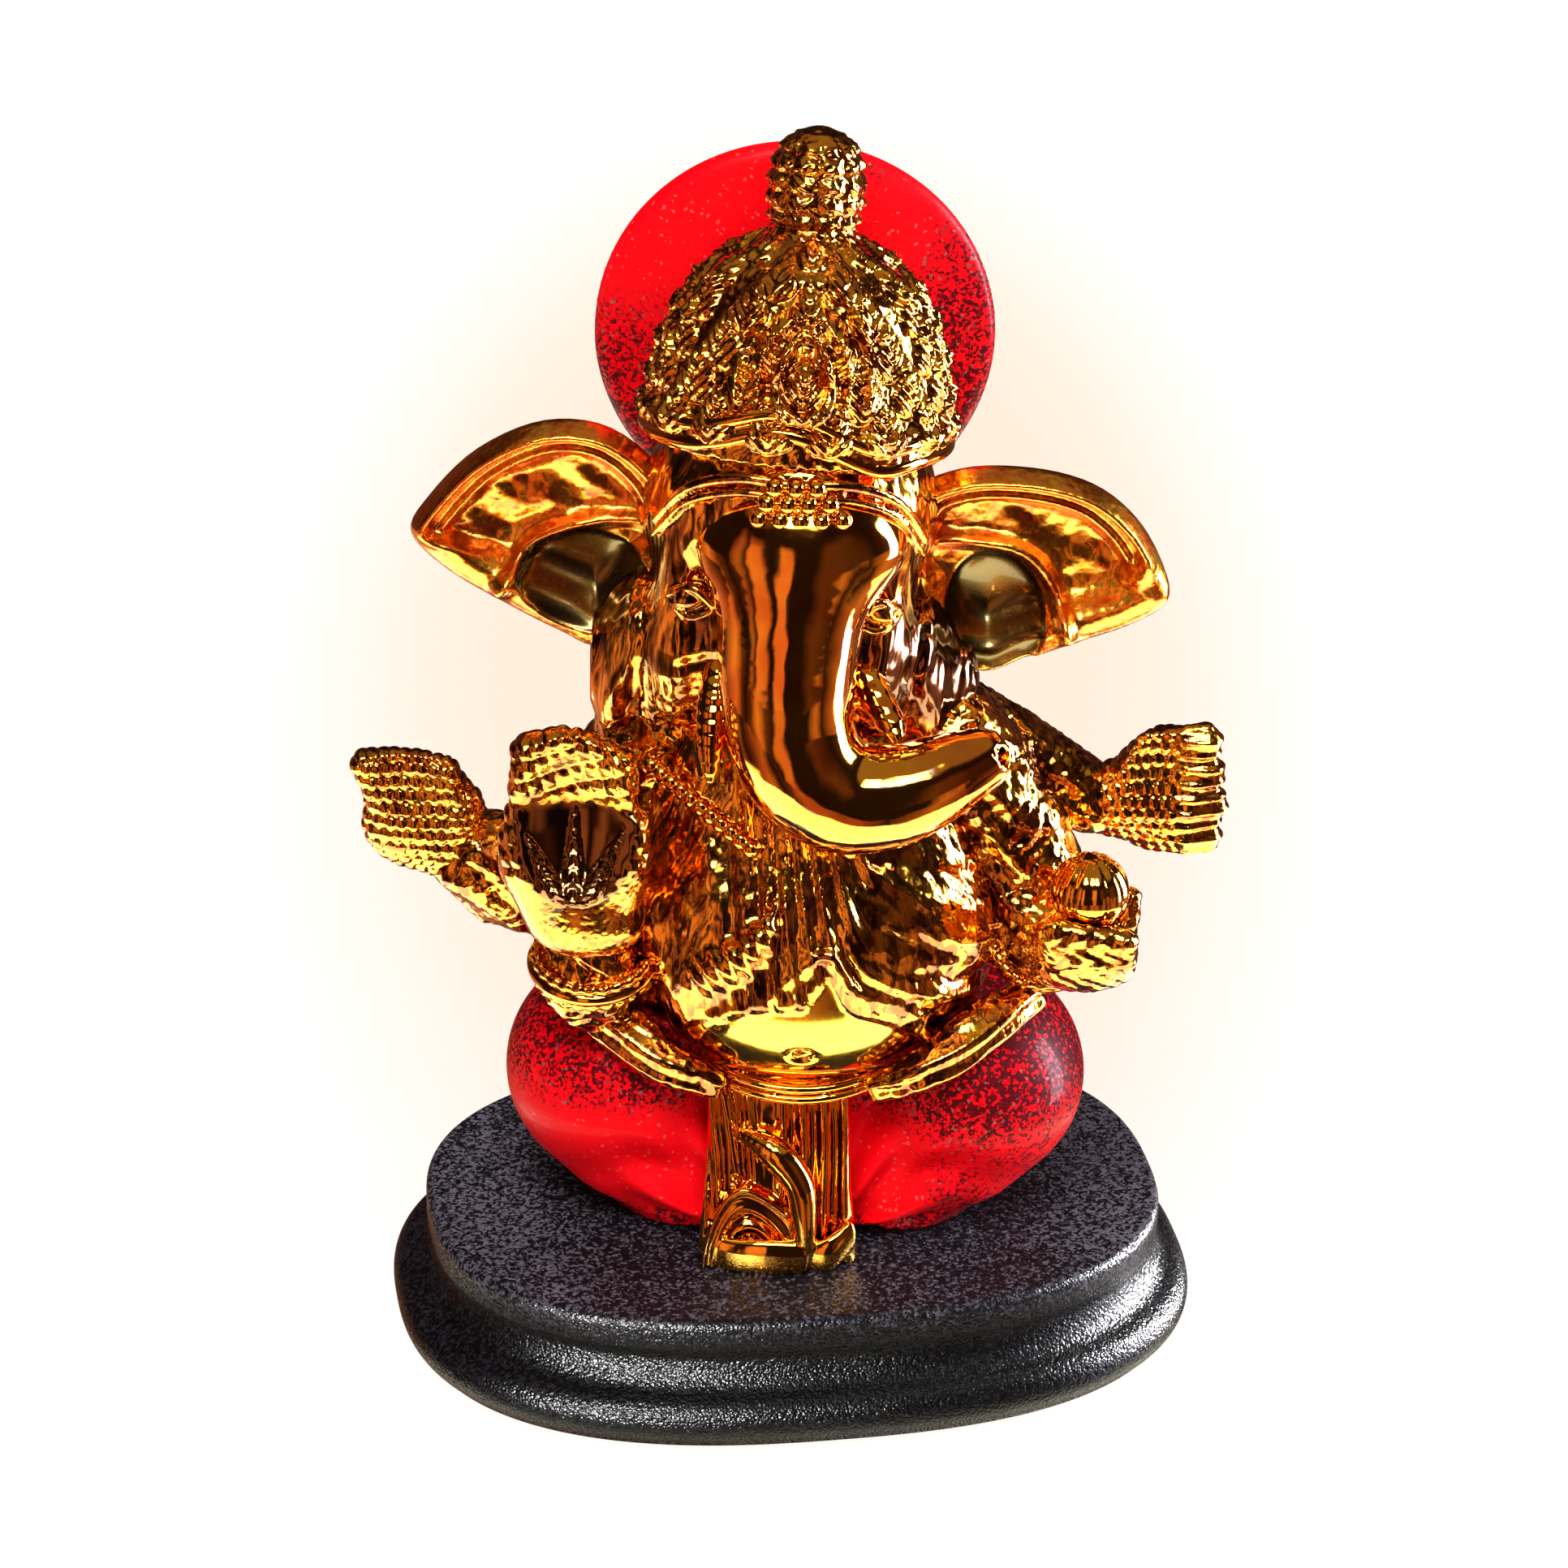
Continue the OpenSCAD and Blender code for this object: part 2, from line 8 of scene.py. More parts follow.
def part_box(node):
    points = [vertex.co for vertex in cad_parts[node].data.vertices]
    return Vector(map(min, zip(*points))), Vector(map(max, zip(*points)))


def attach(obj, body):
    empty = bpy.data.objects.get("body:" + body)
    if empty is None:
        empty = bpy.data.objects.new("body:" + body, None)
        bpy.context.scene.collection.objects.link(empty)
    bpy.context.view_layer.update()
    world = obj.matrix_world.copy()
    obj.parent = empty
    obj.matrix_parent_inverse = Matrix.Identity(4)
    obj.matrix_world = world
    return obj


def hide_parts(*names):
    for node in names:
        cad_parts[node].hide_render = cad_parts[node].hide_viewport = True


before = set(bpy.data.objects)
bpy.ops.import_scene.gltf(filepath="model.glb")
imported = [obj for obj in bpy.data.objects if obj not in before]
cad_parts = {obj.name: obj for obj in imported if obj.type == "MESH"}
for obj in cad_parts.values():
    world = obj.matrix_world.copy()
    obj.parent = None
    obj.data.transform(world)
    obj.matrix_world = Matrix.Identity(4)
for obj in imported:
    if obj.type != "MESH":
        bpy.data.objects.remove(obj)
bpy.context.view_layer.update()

# The figure is sculpted in its own millimetres: x to the viewer's right, -y to the front, z up from
# the plinth's top. These put it in the row frame.
figure = {"turn": -10.0}
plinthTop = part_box("plinth")[1].z
figureScale = (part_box("crown_finial")[1].z - plinthTop) / 0.12934
fine = 1.0


def spin(degrees, axis):
    return Matrix.Rotation(math.radians(degrees), 3, axis)


turnMatrix = np.array(spin(figure["turn"], "Z"))


def seat(points):
    placed = np.asarray(points, float) @ turnMatrix.T * (figureScale / 1000)
    placed[:, 2] += plinthTop
    return placed


# Shapes are distances in millimetres, negative inside.
def turned(p, at, angles=(0, 0, 0)):
    q = p - np.array(at, float)
    for axis, angle in zip("XYZ", angles):
        if angle:
            q = q @ np.array(spin(angle, axis))
    return q


def blob(p, at, size, angles=(0, 0, 0)):
    q = turned(p, at, angles)
    size = np.array(size, float)
    near = np.linalg.norm(q / size, axis=1)
    steep = np.linalg.norm(q / size ** 2, axis=1) + 1e-9
    return near * (near - 1) / steep


def rod(p, a, b, ra, rb):
    a, b = np.array(a, float), np.array(b, float)
    span = b - a
    share = np.clip((p - a) @ span / max(span @ span, 1e-9), 0, 1)
    return np.linalg.norm(p - a - share[:, None] * span, axis=1) - (ra + (rb - ra) * share)


def smoothLine(points, steps, closed=False):
    # a smooth curve through the points
    pts = np.array(points, float)
    before, after = (pts[-1:], pts[:2]) if closed else (pts[:1], pts[-1:])
    pts = np.concatenate([before, pts, after])
    out = []
    for a, b, c, d in zip(pts, pts[1:], pts[2:], pts[3:]):
        for t in np.arange(steps) / steps:
            out.append(0.5 * (2 * b + (c - a) * t + (2 * a - 5 * b + 4 * c - d) * t ** 2
                              + (3 * b - a - 3 * c + d) * t ** 3))
    if not closed:
        out.append(pts[-1])
    return np.array(out)


def limb(p, line, steps=5):
    path = smoothLine(line, steps)
    best = np.full(len(p), 1e9)
    for a, b in zip(path[:-1], path[1:]):
        best = np.minimum(best, rod(p, a[:3], b[:3], a[3], b[3]))
    return best


def join(a, b, k=1.5):
    h = np.clip(0.5 + 0.5 * (b - a) / k, 0, 1)
    return b + (a - b) * h - k * h * (1 - h)


def cut(a, b, k=0.6):
    return -join(-a, b, k)


def meet(a, b, k=0.6):
    return -join(-a, -b, k)


def strands(p, size, along, seed=0.0, length=0.82):
    # grain drawn out along one direction, like combed hair or gathered cloth
    way = np.array(along, float)
    way = way / np.linalg.norm(way)
    return grain(p - length * (p @ way)[:, None] * way, size, seed)


def mirrored(p):
    q = p.copy()
    q[:, 0] = np.abs(q[:, 0])
    return q


def hump(x, at, wide):
    return np.exp(-((x - at) / wide) ** 2)


def ease(x, a, b):
    t = np.clip((x - a) / (b - a), 0, 1)
    return t * t * (3 - 2 * t)


def grain(p, size, seed=0.0):
    q = p / size + seed
    x, y, z = q[:, 0], q[:, 1], q[:, 2]
    one = np.sin(2.1 * x + 1.7 * np.sin(1.3 * z + seed)) * np.sin(2.3 * z + 1.9 * np.sin(1.1 * y))
    two = np.sin(2.7 * y + 1.3 * np.sin(1.9 * x)) * np.sin(1.7 * z - 2.2 * np.sin(0.9 * x + seed))
    return 0.6 * one + 0.4 * two


# The grid is only filled near the surface, which is then pulled onto the true shape.
def surfaceNet(value, low, cell):
    inside = value < 0
    nx, ny, nz = (n - 1 for n in value.shape)
    corner = {(i, j, k): (slice(i, nx + i), slice(j, ny + j), slice(k, nz + k))
              for i in (0, 1) for j in (0, 1) for k in (0, 1)}
    count = sum(inside[s].astype(np.int8) for s in corner.values())
    mixed = (count > 0) & (count < 8)
    cells = np.argwhere(mixed)
    index = np.full(mixed.shape, -1)
    index[mixed] = np.arange(len(cells))
    total, hits = np.zeros((len(cells), 3)), np.zeros(len(cells))
    for a in corner:
        for axis in range(3):
            if a[axis]:
                continue
            b = tuple(1 if n == axis else a[n] for n in range(3))
            va, vb = value[corner[a]][mixed], value[corner[b]][mixed]
            crossing = (va < 0) != (vb < 0)
            share = np.where(crossing, va / np.where(crossing, va - vb, 1), 0)
            spot = np.array(a, float) + share[:, None] * (np.array(b) - np.array(a))
            total += spot * crossing[:, None]
            hits += crossing
    verts = low + (cells + total / hits[:, None]) * cell
    quads = []
    for axis in range(3):
        u, v = (axis + 1) % 3, (axis + 2) % 3
        first = [slice(1, -1)] * 3
        first[axis] = slice(0, -1)
        second = list(first)
        second[axis] = slice(1, None)
        a, b = inside[tuple(first)], inside[tuple(second)]
        spots = np.argwhere(a != b)
        flip = a[tuple(spots.T)]
        spots = spots + 1
        spots[:, axis] -= 1
        ring = []
        for du, dv in ((0, 0), (1, 0), (1, 1), (0, 1)):
            at = spots.copy()
            at[:, u] -= du
            at[:, v] -= dv
            ring.append(index[tuple(at.T)])
        ring = np.stack(ring, 1)
        ring[~flip] = ring[~flip][:, ::-1]
        quads.append(ring)
    return verts, np.concatenate(quads)


def sampleField(field, low, high, cell):
    low, high = np.array(low, float), np.array(high, float)
    shape = np.ceil((high - low) / cell / 4).astype(int) * 4 + 5
    coarse = [low[n] + cell * 4 * np.arange((shape[n] - 1) // 4 + 1) for n in range(3)]
    mesh = np.stack(np.meshgrid(*coarse, indexing="ij"), -1)
    rough = field(mesh.reshape(-1, 3)).reshape(mesh.shape[:3])
    near = np.abs(rough) < cell * 9
    spread = near.copy()
    for axis in range(3):
        for step in (-1, 1):
            spread |= np.roll(near, step, axis)
    full = rough
    for axis in range(3):
        full = np.repeat(full, 4, axis)
        spread = np.repeat(spread, 4, axis)
    full = full[tuple(slice(0, n) for n in shape)].copy()
    wanted = spread[tuple(slice(0, n) for n in shape)]
    spots = np.argwhere(wanted)
    values = np.empty(len(spots))
    for start in range(0, len(spots), 200000):
        part = spots[start:start + 200000]
        values[start:start + 200000] = field(low + part * cell)
    full[wanted] = values
    full[[0, -1], :, :] = 5
    full[:, [0, -1], :] = 5
    full[:, :, [0, -1]] = 5
    return full


corners = np.array([(1, -1, -1), (-1, -1, 1), (-1, 1, -1), (1, 1, 1)], float)


def settle(field, verts, cell, rounds=2):
    for _ in range(rounds):
        here = field(verts)
        slope = sum(c * field(verts + c * cell * 0.4)[:, None] for c in corners) / (4 * cell * 0.4)
        size = np.maximum((slope ** 2).sum(1), 0.2)
        step = (here / size)[:, None] * slope
        reach = np.linalg.norm(step, axis=1, keepdims=True)
        verts = verts - step * np.minimum(1, cell * 0.8 / np.maximum(reach, 1e-9))
    return verts


def meshPiece(name, verts, faces, material, nodes):
    mesh = bpy.data.meshes.new(name)
    faces = np.asarray(faces)
    size = faces.shape[1]
    mesh.vertices.add(len(verts))
    mesh.vertices.foreach_set("co", np.asarray(verts, np.float32).ravel())
    mesh.loops.add(faces.size)
    mesh.loops.foreach_set("vertex_index", faces.astype(np.int32).ravel())
    mesh.polygons.add(len(faces))
    mesh.polygons.foreach_set("loop_start", np.arange(len(faces), dtype=np.int32) * size)
    mesh.polygons.foreach_set("loop_total", np.full(len(faces), size, np.int32))
    mesh.polygons.foreach_set("use_smooth", np.full(len(faces), True))
    mesh.update(calc_edges=True)
    mesh.validate()
    piece = bpy.data.objects.new(name, mesh)
    bpy.context.scene.collection.objects.link(piece)
    mesh.materials.append(material)
    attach(piece, "root")
    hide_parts(*nodes)
    return piece


def keepLargest(verts, faces, least=0.02):
    parent = np.arange(len(verts))
    for _ in range(60):  # spreads the lowest label over each connected shell
        low = parent[faces].min(1)
        before = parent.copy()
        for n in range(faces.shape[1]):
            np.minimum.at(parent, faces[:, n], low)
        parent = parent[parent]
        if (before == parent).all():
            break
    names, counts = np.unique(parent, return_counts=True)
    good = set(names[counts >= max(24, least * len(verts))])
    keep = np.isin(parent, list(good))
    renumber = np.cumsum(keep) - 1
    return verts[keep], renumber[faces[keep[faces[:, 0]]]]


def sculpt(name, field, low, high, cell, material, nodes, mark=None):
    cell = cell * fine
    value = sampleField(field, low, high, cell)
    verts, faces = surfaceNet(value, np.array(low, float), cell)
    verts, faces = keepLargest(verts, faces)
    verts = settle(field, verts, cell)
    piece = meshPiece(name, seat(verts), faces, material, nodes)
    if mark:  # a share at every point, which the finish reads as "mark"
        share = piece.data.attributes.new("mark", "FLOAT", "POINT")
        share.data.foreach_set("value", np.clip(mark(verts), 0, 1).astype(np.float32))
    print("sculpted", name, len(verts), "points")
    return piece


# Wires carry shader maths, so that finishes read as plain sums.
class Wire:
    def __init__(self, finish, socket):
        self.finish = finish
        self.socket = socket

    def __add__(self, other):
        return self.finish.sum("ADD", self, other)

    def __radd__(self, other):
        return self.finish.sum("ADD", other, self)

    def __sub__(self, other):
        return self.finish.sum("SUBTRACT", self, other)

    def __rsub__(self, other):
        return self.finish.sum("SUBTRACT", other, self)

    def __mul__(self, other):
        return self.finish.sum("MULTIPLY", self, other)

    def __rmul__(self, other):
        return self.finish.sum("MULTIPLY", other, self)

    def __truediv__(self, other):
        return self.finish.sum("DIVIDE", self, other)

    def __rtruediv__(self, other):
        return self.finish.sum("DIVIDE", other, self)


class Finish:
    def __init__(self, name, tree=None):
        self.material = None
        if tree is None:
            self.material = bpy.data.materials.new(name)
            self.material.use_nodes = True
            tree = self.material.node_tree
        self.tree = tree
        tree.nodes.clear()

    def plug(self, socket, value):
        if isinstance(value, Wire):
            self.tree.links.new(value.socket, socket)
        elif isinstance(value, (tuple, list)) and len(value) == 3 and socket.type == "RGBA":
            socket.default_value = (*value, 1)
        else:
            socket.default_value = value

    def node(self, kind, settings=None, sockets=None, out=0):
        node = self.tree.nodes.new(kind)
        for key, value in (settings or {}).items():
            if key == "stops":
                stops = node.color_ramp.elements
                stops.remove(stops[1])
                stops[0].position = value[0][0]
                stops[0].color = (*value[0][1], 1)
                for spot, shade in value[1:]:
                    stops.new(spot).color = (*shade, 1)
            else:
                setattr(node, key, value)
        for key, value in (sockets or {}).items():
            self.plug(node.inputs[key], value)
        return Wire(self, node.outputs[out])

    def sum(self, operation, a, b):
        return self.node("ShaderNodeMath", {"operation": operation}, {0: a, 1: b})

    def clamp(self, value, low, high, start=0.0, end=1.0):
        return self.node("ShaderNodeMapRange", {"clamp": True, "interpolation_type": "SMOOTHSTEP"},
                         {"Value": value, "From Min": low, "From Max": high, "To Min": start, "To Max": end})

    def mixColour(self, share, first, second):
        return self.node("ShaderNodeMix", {"data_type": "RGBA"}, {0: share, 6: first, 7: second}, 2)

    def mark(self):
        return self.node("ShaderNodeAttribute", {"attribute_name": "mark"}, None, "Fac")

    def place(self):
        return self.node("ShaderNodeTexCoord", out="Object")

    def axis(self, letter):
        return self.node("ShaderNodeSeparateXYZ", None, {"Vector": self.place()}, letter)

    def noise(self, size, detail=3.0, at=None, **more):
        return self.node("ShaderNodeTexNoise", None,
                         {"Vector": at or self.place(), "Scale": 1 / size, "Detail": detail, **more}, "Fac")

    def cells(self, size, at=None, feature="F1", out="Distance", **more):
        return self.node("ShaderNodeTexVoronoi", {"feature": feature},
                         {"Vector": at or self.place(), "Scale": 1 / size, **more}, out)

    def specks(self, size):
        # one even random value for each speck
        colour = self.cells(size, None, "F1", "Color")
        return self.node("ShaderNodeSeparateColor", None, {"Color": colour}, "Red")

    def bump(self, height, distance):
        return self.node("ShaderNodeBump", None, {"Height": height, "Distance": distance, "Strength": 1.0},
                         "Normal")

    def surface(self, **sockets):
        names = {key.replace("_", " "): value for key, value in sockets.items()}
        shader = self.node("ShaderNodeBsdfPrincipled", None, names)
        end = self.tree.nodes.new("ShaderNodeOutputMaterial")
        self.tree.links.new(shader.socket, end.inputs["Surface"])
        return self.material


# groove is a painted shade colour for the grooves in the grain
goldLook = {"bright": (1.0, 0.50, 0.040), "deep": (0.78, 0.24, 0.025), "groove": (0.16, 0.055, 0.018)}


def goldFinish(name, grainSize=0.0009, grainHeight=0.00012, along=(1, 1, 1), rough=0.08, valleyShade=0.5,
               marked=None, look=goldLook):
    # valleyShade is how far painted shade darkens the grooves; marked is the colour that the marked points
    # take, polished, and the dark marked colours are painted shade
    f = Finish(name)
    at = f.node("ShaderNodeMapping", None, {"Vector": f.place(), "Scale": along})
    wander = f.noise(0.004, 2.0, at)
    pits = f.cells(grainSize, at, "SMOOTH_F1", Smoothness=0.4, Randomness=1.0)
    folds = f.noise(grainSize * 2.6, 4.0, at, Distortion=1.0)
    height = (1 - pits) * 0.55 + folds
    small = f.noise(0.0005, 2.0)
    tint = f.clamp(wander * 0.6 + folds * 0.4, 0.35, 0.62)
    colour = f.mixColour(tint, look["deep"], look["bright"])
    # painted shade: the grooves between the folds are darkened towards the groove colour
    groove = f.clamp(folds, 0.56, 0.40) * valleyShade
    if marked:
        groove = groove * (1 - f.mark())
        height = height * (1 - f.mark())
        colour = f.mixColour(f.mark(), colour, marked)
    colour = f.mixColour(groove, colour, look["groove"])
    return f.surface(Base_Color=colour, Metallic=1.0, Roughness=rough + small * 0.08, Coat_Weight=0.6,
                     Normal=f.bump(height, grainHeight))


def polishedFinish(name):
    f = Finish(name)
    wander = f.noise(0.006, 2.0)
    colour = f.mixColour(f.clamp(wander, 0.3, 0.7), goldLook["deep"], goldLook["bright"])
    specks = f.noise(0.0006, 3.0)
    return f.surface(Base_Color=colour, Metallic=1.0, Roughness=0.035 + specks * 0.04, Coat_Weight=0.6,
                     Normal=f.bump(f.noise(0.005, 1.0), 0.0003))


# dark is the maroon that the red runs to in random patches, and more deeply under painted shade
redLook = {"bright": (0.72, 0.001, 0.005), "dark": (0.06, 0.001, 0.003), "speck": 0.00034}


def redFinish(name, shadeAt):
    f = Finish(name)
    tone = f.specks(redLook["speck"])
    haze = f.noise(0.010, 3.0)
    # painted shade from shadeAt darkens the red towards maroon, over random haze and specks
    dark = shadeAt(f)
    patch = f.clamp(haze * 0.6 + dark + (tone - 0.5) * (0.14 + dark * 1.3), 0.45, 0.72)
    colour = f.mixColour(patch, redLook["bright"], redLook["dark"])
    # random glitter specks: more metallic, and painted a pale pink glint
    glint = f.clamp(tone, 0.965, 0.99)
    colour = f.mixColour(glint * 0.25, colour, (1.0, 0.30, 0.25))
    grainy = f.noise(0.0005, 2.0)
    return f.surface(Base_Color=colour, Metallic=0.05 + glint * 0.4, Roughness=0.34 + tone * 0.2,
                     Specular_IOR_Level=0.08, Coat_Weight=0.04, Coat_Roughness=0.06,
                     Normal=f.bump(grainy + tone * 0.6, 0.00003))


def blackFinish(name):
    f = Finish(name)
    dots = f.cells(0.00034)
    tone = f.specks(0.00034)
    leather = f.noise(0.0006, 3.0)
    drift = f.noise(0.02, 2.0)
    height = f.axis("Z")
    # painted light: the top and its edge are lighter, the faces below darker
    upper = f.clamp(height, plinthTop - 0.004, plinthTop - 0.0005)
    side = f.axis("X")
    side = f.clamp(side * side, 0.0004, 0.0013)
    # the share of pale specks: random grain, more towards the left and right sides, and more on the top as
    # painted light
    dustAndTopLight = f.clamp(tone * 0.8 + leather * 0.5 + drift * 0.25 + upper * 0.1 + side * 0.22, 0.95, 1.35)
    pale = f.mixColour(upper, (0.010, 0.009, 0.012), (0.060, 0.055, 0.068))
    base = f.mixColour(upper, (0.0012, 0.001, 0.0014), (0.003, 0.0025, 0.0035))
    colour = f.mixColour(dustAndTopLight, base, pale)
    return f.surface(Base_Color=colour, Roughness=0.16 + leather * 0.22, Specular_IOR_Level=0.06,
                     Normal=f.bump((1 - dots) * 0.7 + leather, 0.00012))


def steelFinish(name, colour, rough):
    f = Finish(name)
    lines = f.noise(0.0004, 4.0, f.node("ShaderNodeMapping", None, {"Vector": f.place(), "Scale": (1, 1, 8)}))
    shade = f.mixColour(lines, tuple(0.75 * c for c in colour), colour)
    return f.surface(Base_Color=shade, Metallic=1.0, Roughness=rough + lines * 0.15,
                     Normal=f.bump(lines, 0.00002))


def feltFinish(name):
    f = Finish(name)
    fibres = f.noise(0.0007, 6.0, Distortion=2.0)
    tufts = f.noise(0.003, 3.0)
    pile = f.clamp(fibres * 0.7 + tufts * 0.3, 0.3, 0.7)
    colour = f.mixColour(pile, (0.006, 0.006, 0.006), (0.05, 0.05, 0.052))
    return f.surface(Base_Color=colour, Roughness=0.95, Sheen_Weight=0.4, Normal=f.bump(fibres, 0.0003))


goldCloth = goldFinish("goldCloth", 0.0007, 0.00009, along=(1, 1, 0.4), valleyShade=0.8)
goldGrain = goldFinish("goldGrain", 0.0008, 0.00012, valleyShade=0.6)
goldPolish = polishedFinish("goldPolish")
blackLacquer = blackFinish("blackLacquer")

plinthForm = {"width": 47.5, "ratio": 0.73, "inset": 4.0, "blunt": 2.5, "height": 16.0, "proud": 0.4,
              "around": 360}


def arc(radius, degrees):
    angle = math.radians(degrees)
    return radius * math.cos(angle), radius * math.sin(angle)


def ovalRing(width, z, count):
    power = 2 / plinthForm["blunt"]
    # evenly spaced along the outline, so that the blunt corners stay smooth
    dense = np.linspace(0, 2 * math.pi, 4001)
    dx = width * np.sign(np.cos(dense)) * np.abs(np.cos(dense)) ** power
    dy = width * plinthForm["ratio"] * np.sign(np.sin(dense)) * np.abs(np.sin(dense)) ** power
    run = np.concatenate([[0], np.cumsum(np.hypot(np.diff(dx), np.diff(dy)))])
    spots = np.arange(count) / count * run[-1]
    x = np.interp(spots, run, dx)
    y = np.interp(spots, run, dy)
    return np.stack([x, y, np.full(count, z)], 1)


def loft(name, rings, material, nodes):
    count = len(rings[0])
    verts = np.concatenate(rings)
    faces = []
    for j in range(len(rings) - 1):
        i = np.arange(count)
        n = (i + 1) % count
        faces.append(np.stack([j * count + i, j * count + n, (j + 1) * count + n, (j + 1) * count + i], 1))
    piece = meshPiece(name, verts, np.concatenate(faces), material, nodes)
    work = bmesh.new()  # closes both ends
    work.from_mesh(piece.data)
    work.verts.ensure_lookup_table()
    base = list(work.verts)[:count]
    top = list(work.verts)[-count:]
    work.faces.new(base[::-1])
    work.faces.new(top)
    bmesh.ops.recalc_face_normals(work, faces=work.faces)
    work.to_mesh(piece.data)
    work.free()
    return piece


def makePlinth():
    s = plinthForm
    w, h = s["width"], s["height"]
    t, drop = w - s["inset"], 0.26 * h
    rise = h - drop - 7
    line = [(w - 6.0, s["proud"] + 0.02), (w - 2.4, s["proud"]), (w - 1.9, s["proud"] + 0.15)]
    line += [(w - 3.2 + x, s["proud"] + 3.4 + z) for x, z in (arc(3.2, a) for a in range(-60, 61, 8))]
    line += [(w - 1.6 - (s["inset"] - 0.8) * x, 6.8 + rise * (1 - z))
             for z, x in (arc(1, a) for a in range(12, 91, 8))]
    line += [(t - 0.12, h - drop + 0.2), (t - 0.02, h - drop + 0.6), (t, h - 2.2), (t, h - 1.3)]
    line += [(t - 1.2 + x, h - 1.2 + z) for x, z in (arc(1.2, a) for a in range(10, 91, 10))]
    line += [(t - 1.8, h), (t - 4, h), (t - 12, h), (t - 24, h), (t - 36, h)]
    rings = [ovalRing(r, z, s["around"]) / 1000 for r, z in line]
    return loft("plinthBody", rings, blackLacquer, ["plinth"])


def makeFelt():
    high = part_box("base_felt")[1]
    half, top = high.x * 1000, high.z * 1000
    line = [(half * 0.2, 0), (half * 0.6, 0), (half - 1.2, 0), (half - 0.3, 0.08), (half, 0.35),
            (half, top - 0.1), (half - 0.5, top), (half * 0.5, top)]
    rings = [ovalRing(r, z, 180) / 1000 for r, z in line]
    return loft("feltPad", rings, feltFinish("blackFelt"), ["base_felt"])


plinthBody = makePlinth()
makeFelt()
steel = steelFinish("screwSteel", (0.62, 0.62, 0.64), 0.25)
brass = steelFinish("insertBrass", (0.78, 0.56, 0.25), 0.3)
for hidden in ("plinth_screws", "screw_washers", "torso_dowels", "neck_dowel", "crown_dowel", "halo_post",
               "dhoti_inserts"):
    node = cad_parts[hidden]
    node.data.materials.clear()
    node.data.materials.append(brass if hidden == "dhoti_inserts" else steel)
print("plinth, felt and fixings done")

lapForm = {"knee": ((20, -1, 16), (14, 15, 13.5)), "heel": ((12.5, -1.5, 6), (12.5, 13, 9)),
           "lap": ((2, -1, 12), (12, 11, 11)), "foldHeight": 0.8}


def dhotiField(p):
    q = mirrored(p)
    d = join(blob(q, *lapForm["knee"]), blob(q, *lapForm["heel"]), 5)
    d = join(d, blob(q, *lapForm["lap"]), 5)
    # folds sweep out from under the pleats and fade towards the knees
    angle = np.arctan2(q[:, 2] + 1, q[:, 0] - 2)
    reach = np.hypot(q[:, 2] + 1, q[:, 0] - 2)
    pull = ease(reach, 27, 12) * ease(q[:, 1], 0, -9)
    fold = np.sin(angle * 13 + reach * 0.16 + 0.8 * np.sin(reach * 0.3))
    fold = fold + 0.5 * np.sin(angle * 23 - reach * 0.2)
    d = d - lapForm["foldHeight"] * fold * pull
    groove = hump(p[:, 0], 0, 1.6) * ease(p[:, 1], -2, -8)
    return np.maximum(d + groove * 0.9, -p[:, 2] + 0.02)


def dhotiShade(f):
    # painted shade: the red is darker towards the top, towards the bottom and towards the right side
    height = f.axis("Z")
    upper = f.clamp(height, plinthTop + 0.013, plinthTop + 0.022)
    low = f.clamp(height, plinthTop + 0.005, plinthTop + 0.001)
    return upper * 0.36 + low * 0.3 + f.clamp(f.axis("X"), 0.002, 0.020, 0.0, 0.20)


sculpt("dhotiCloth", dhotiField, (-36, -18, -1), (36, 16, 31), 0.5, redFinish("redLacquer", dhotiShade),
       ["dhoti"])

pleatForm = {"middle": -1.7, "halfWidth": 8.3, "top": 21.8}


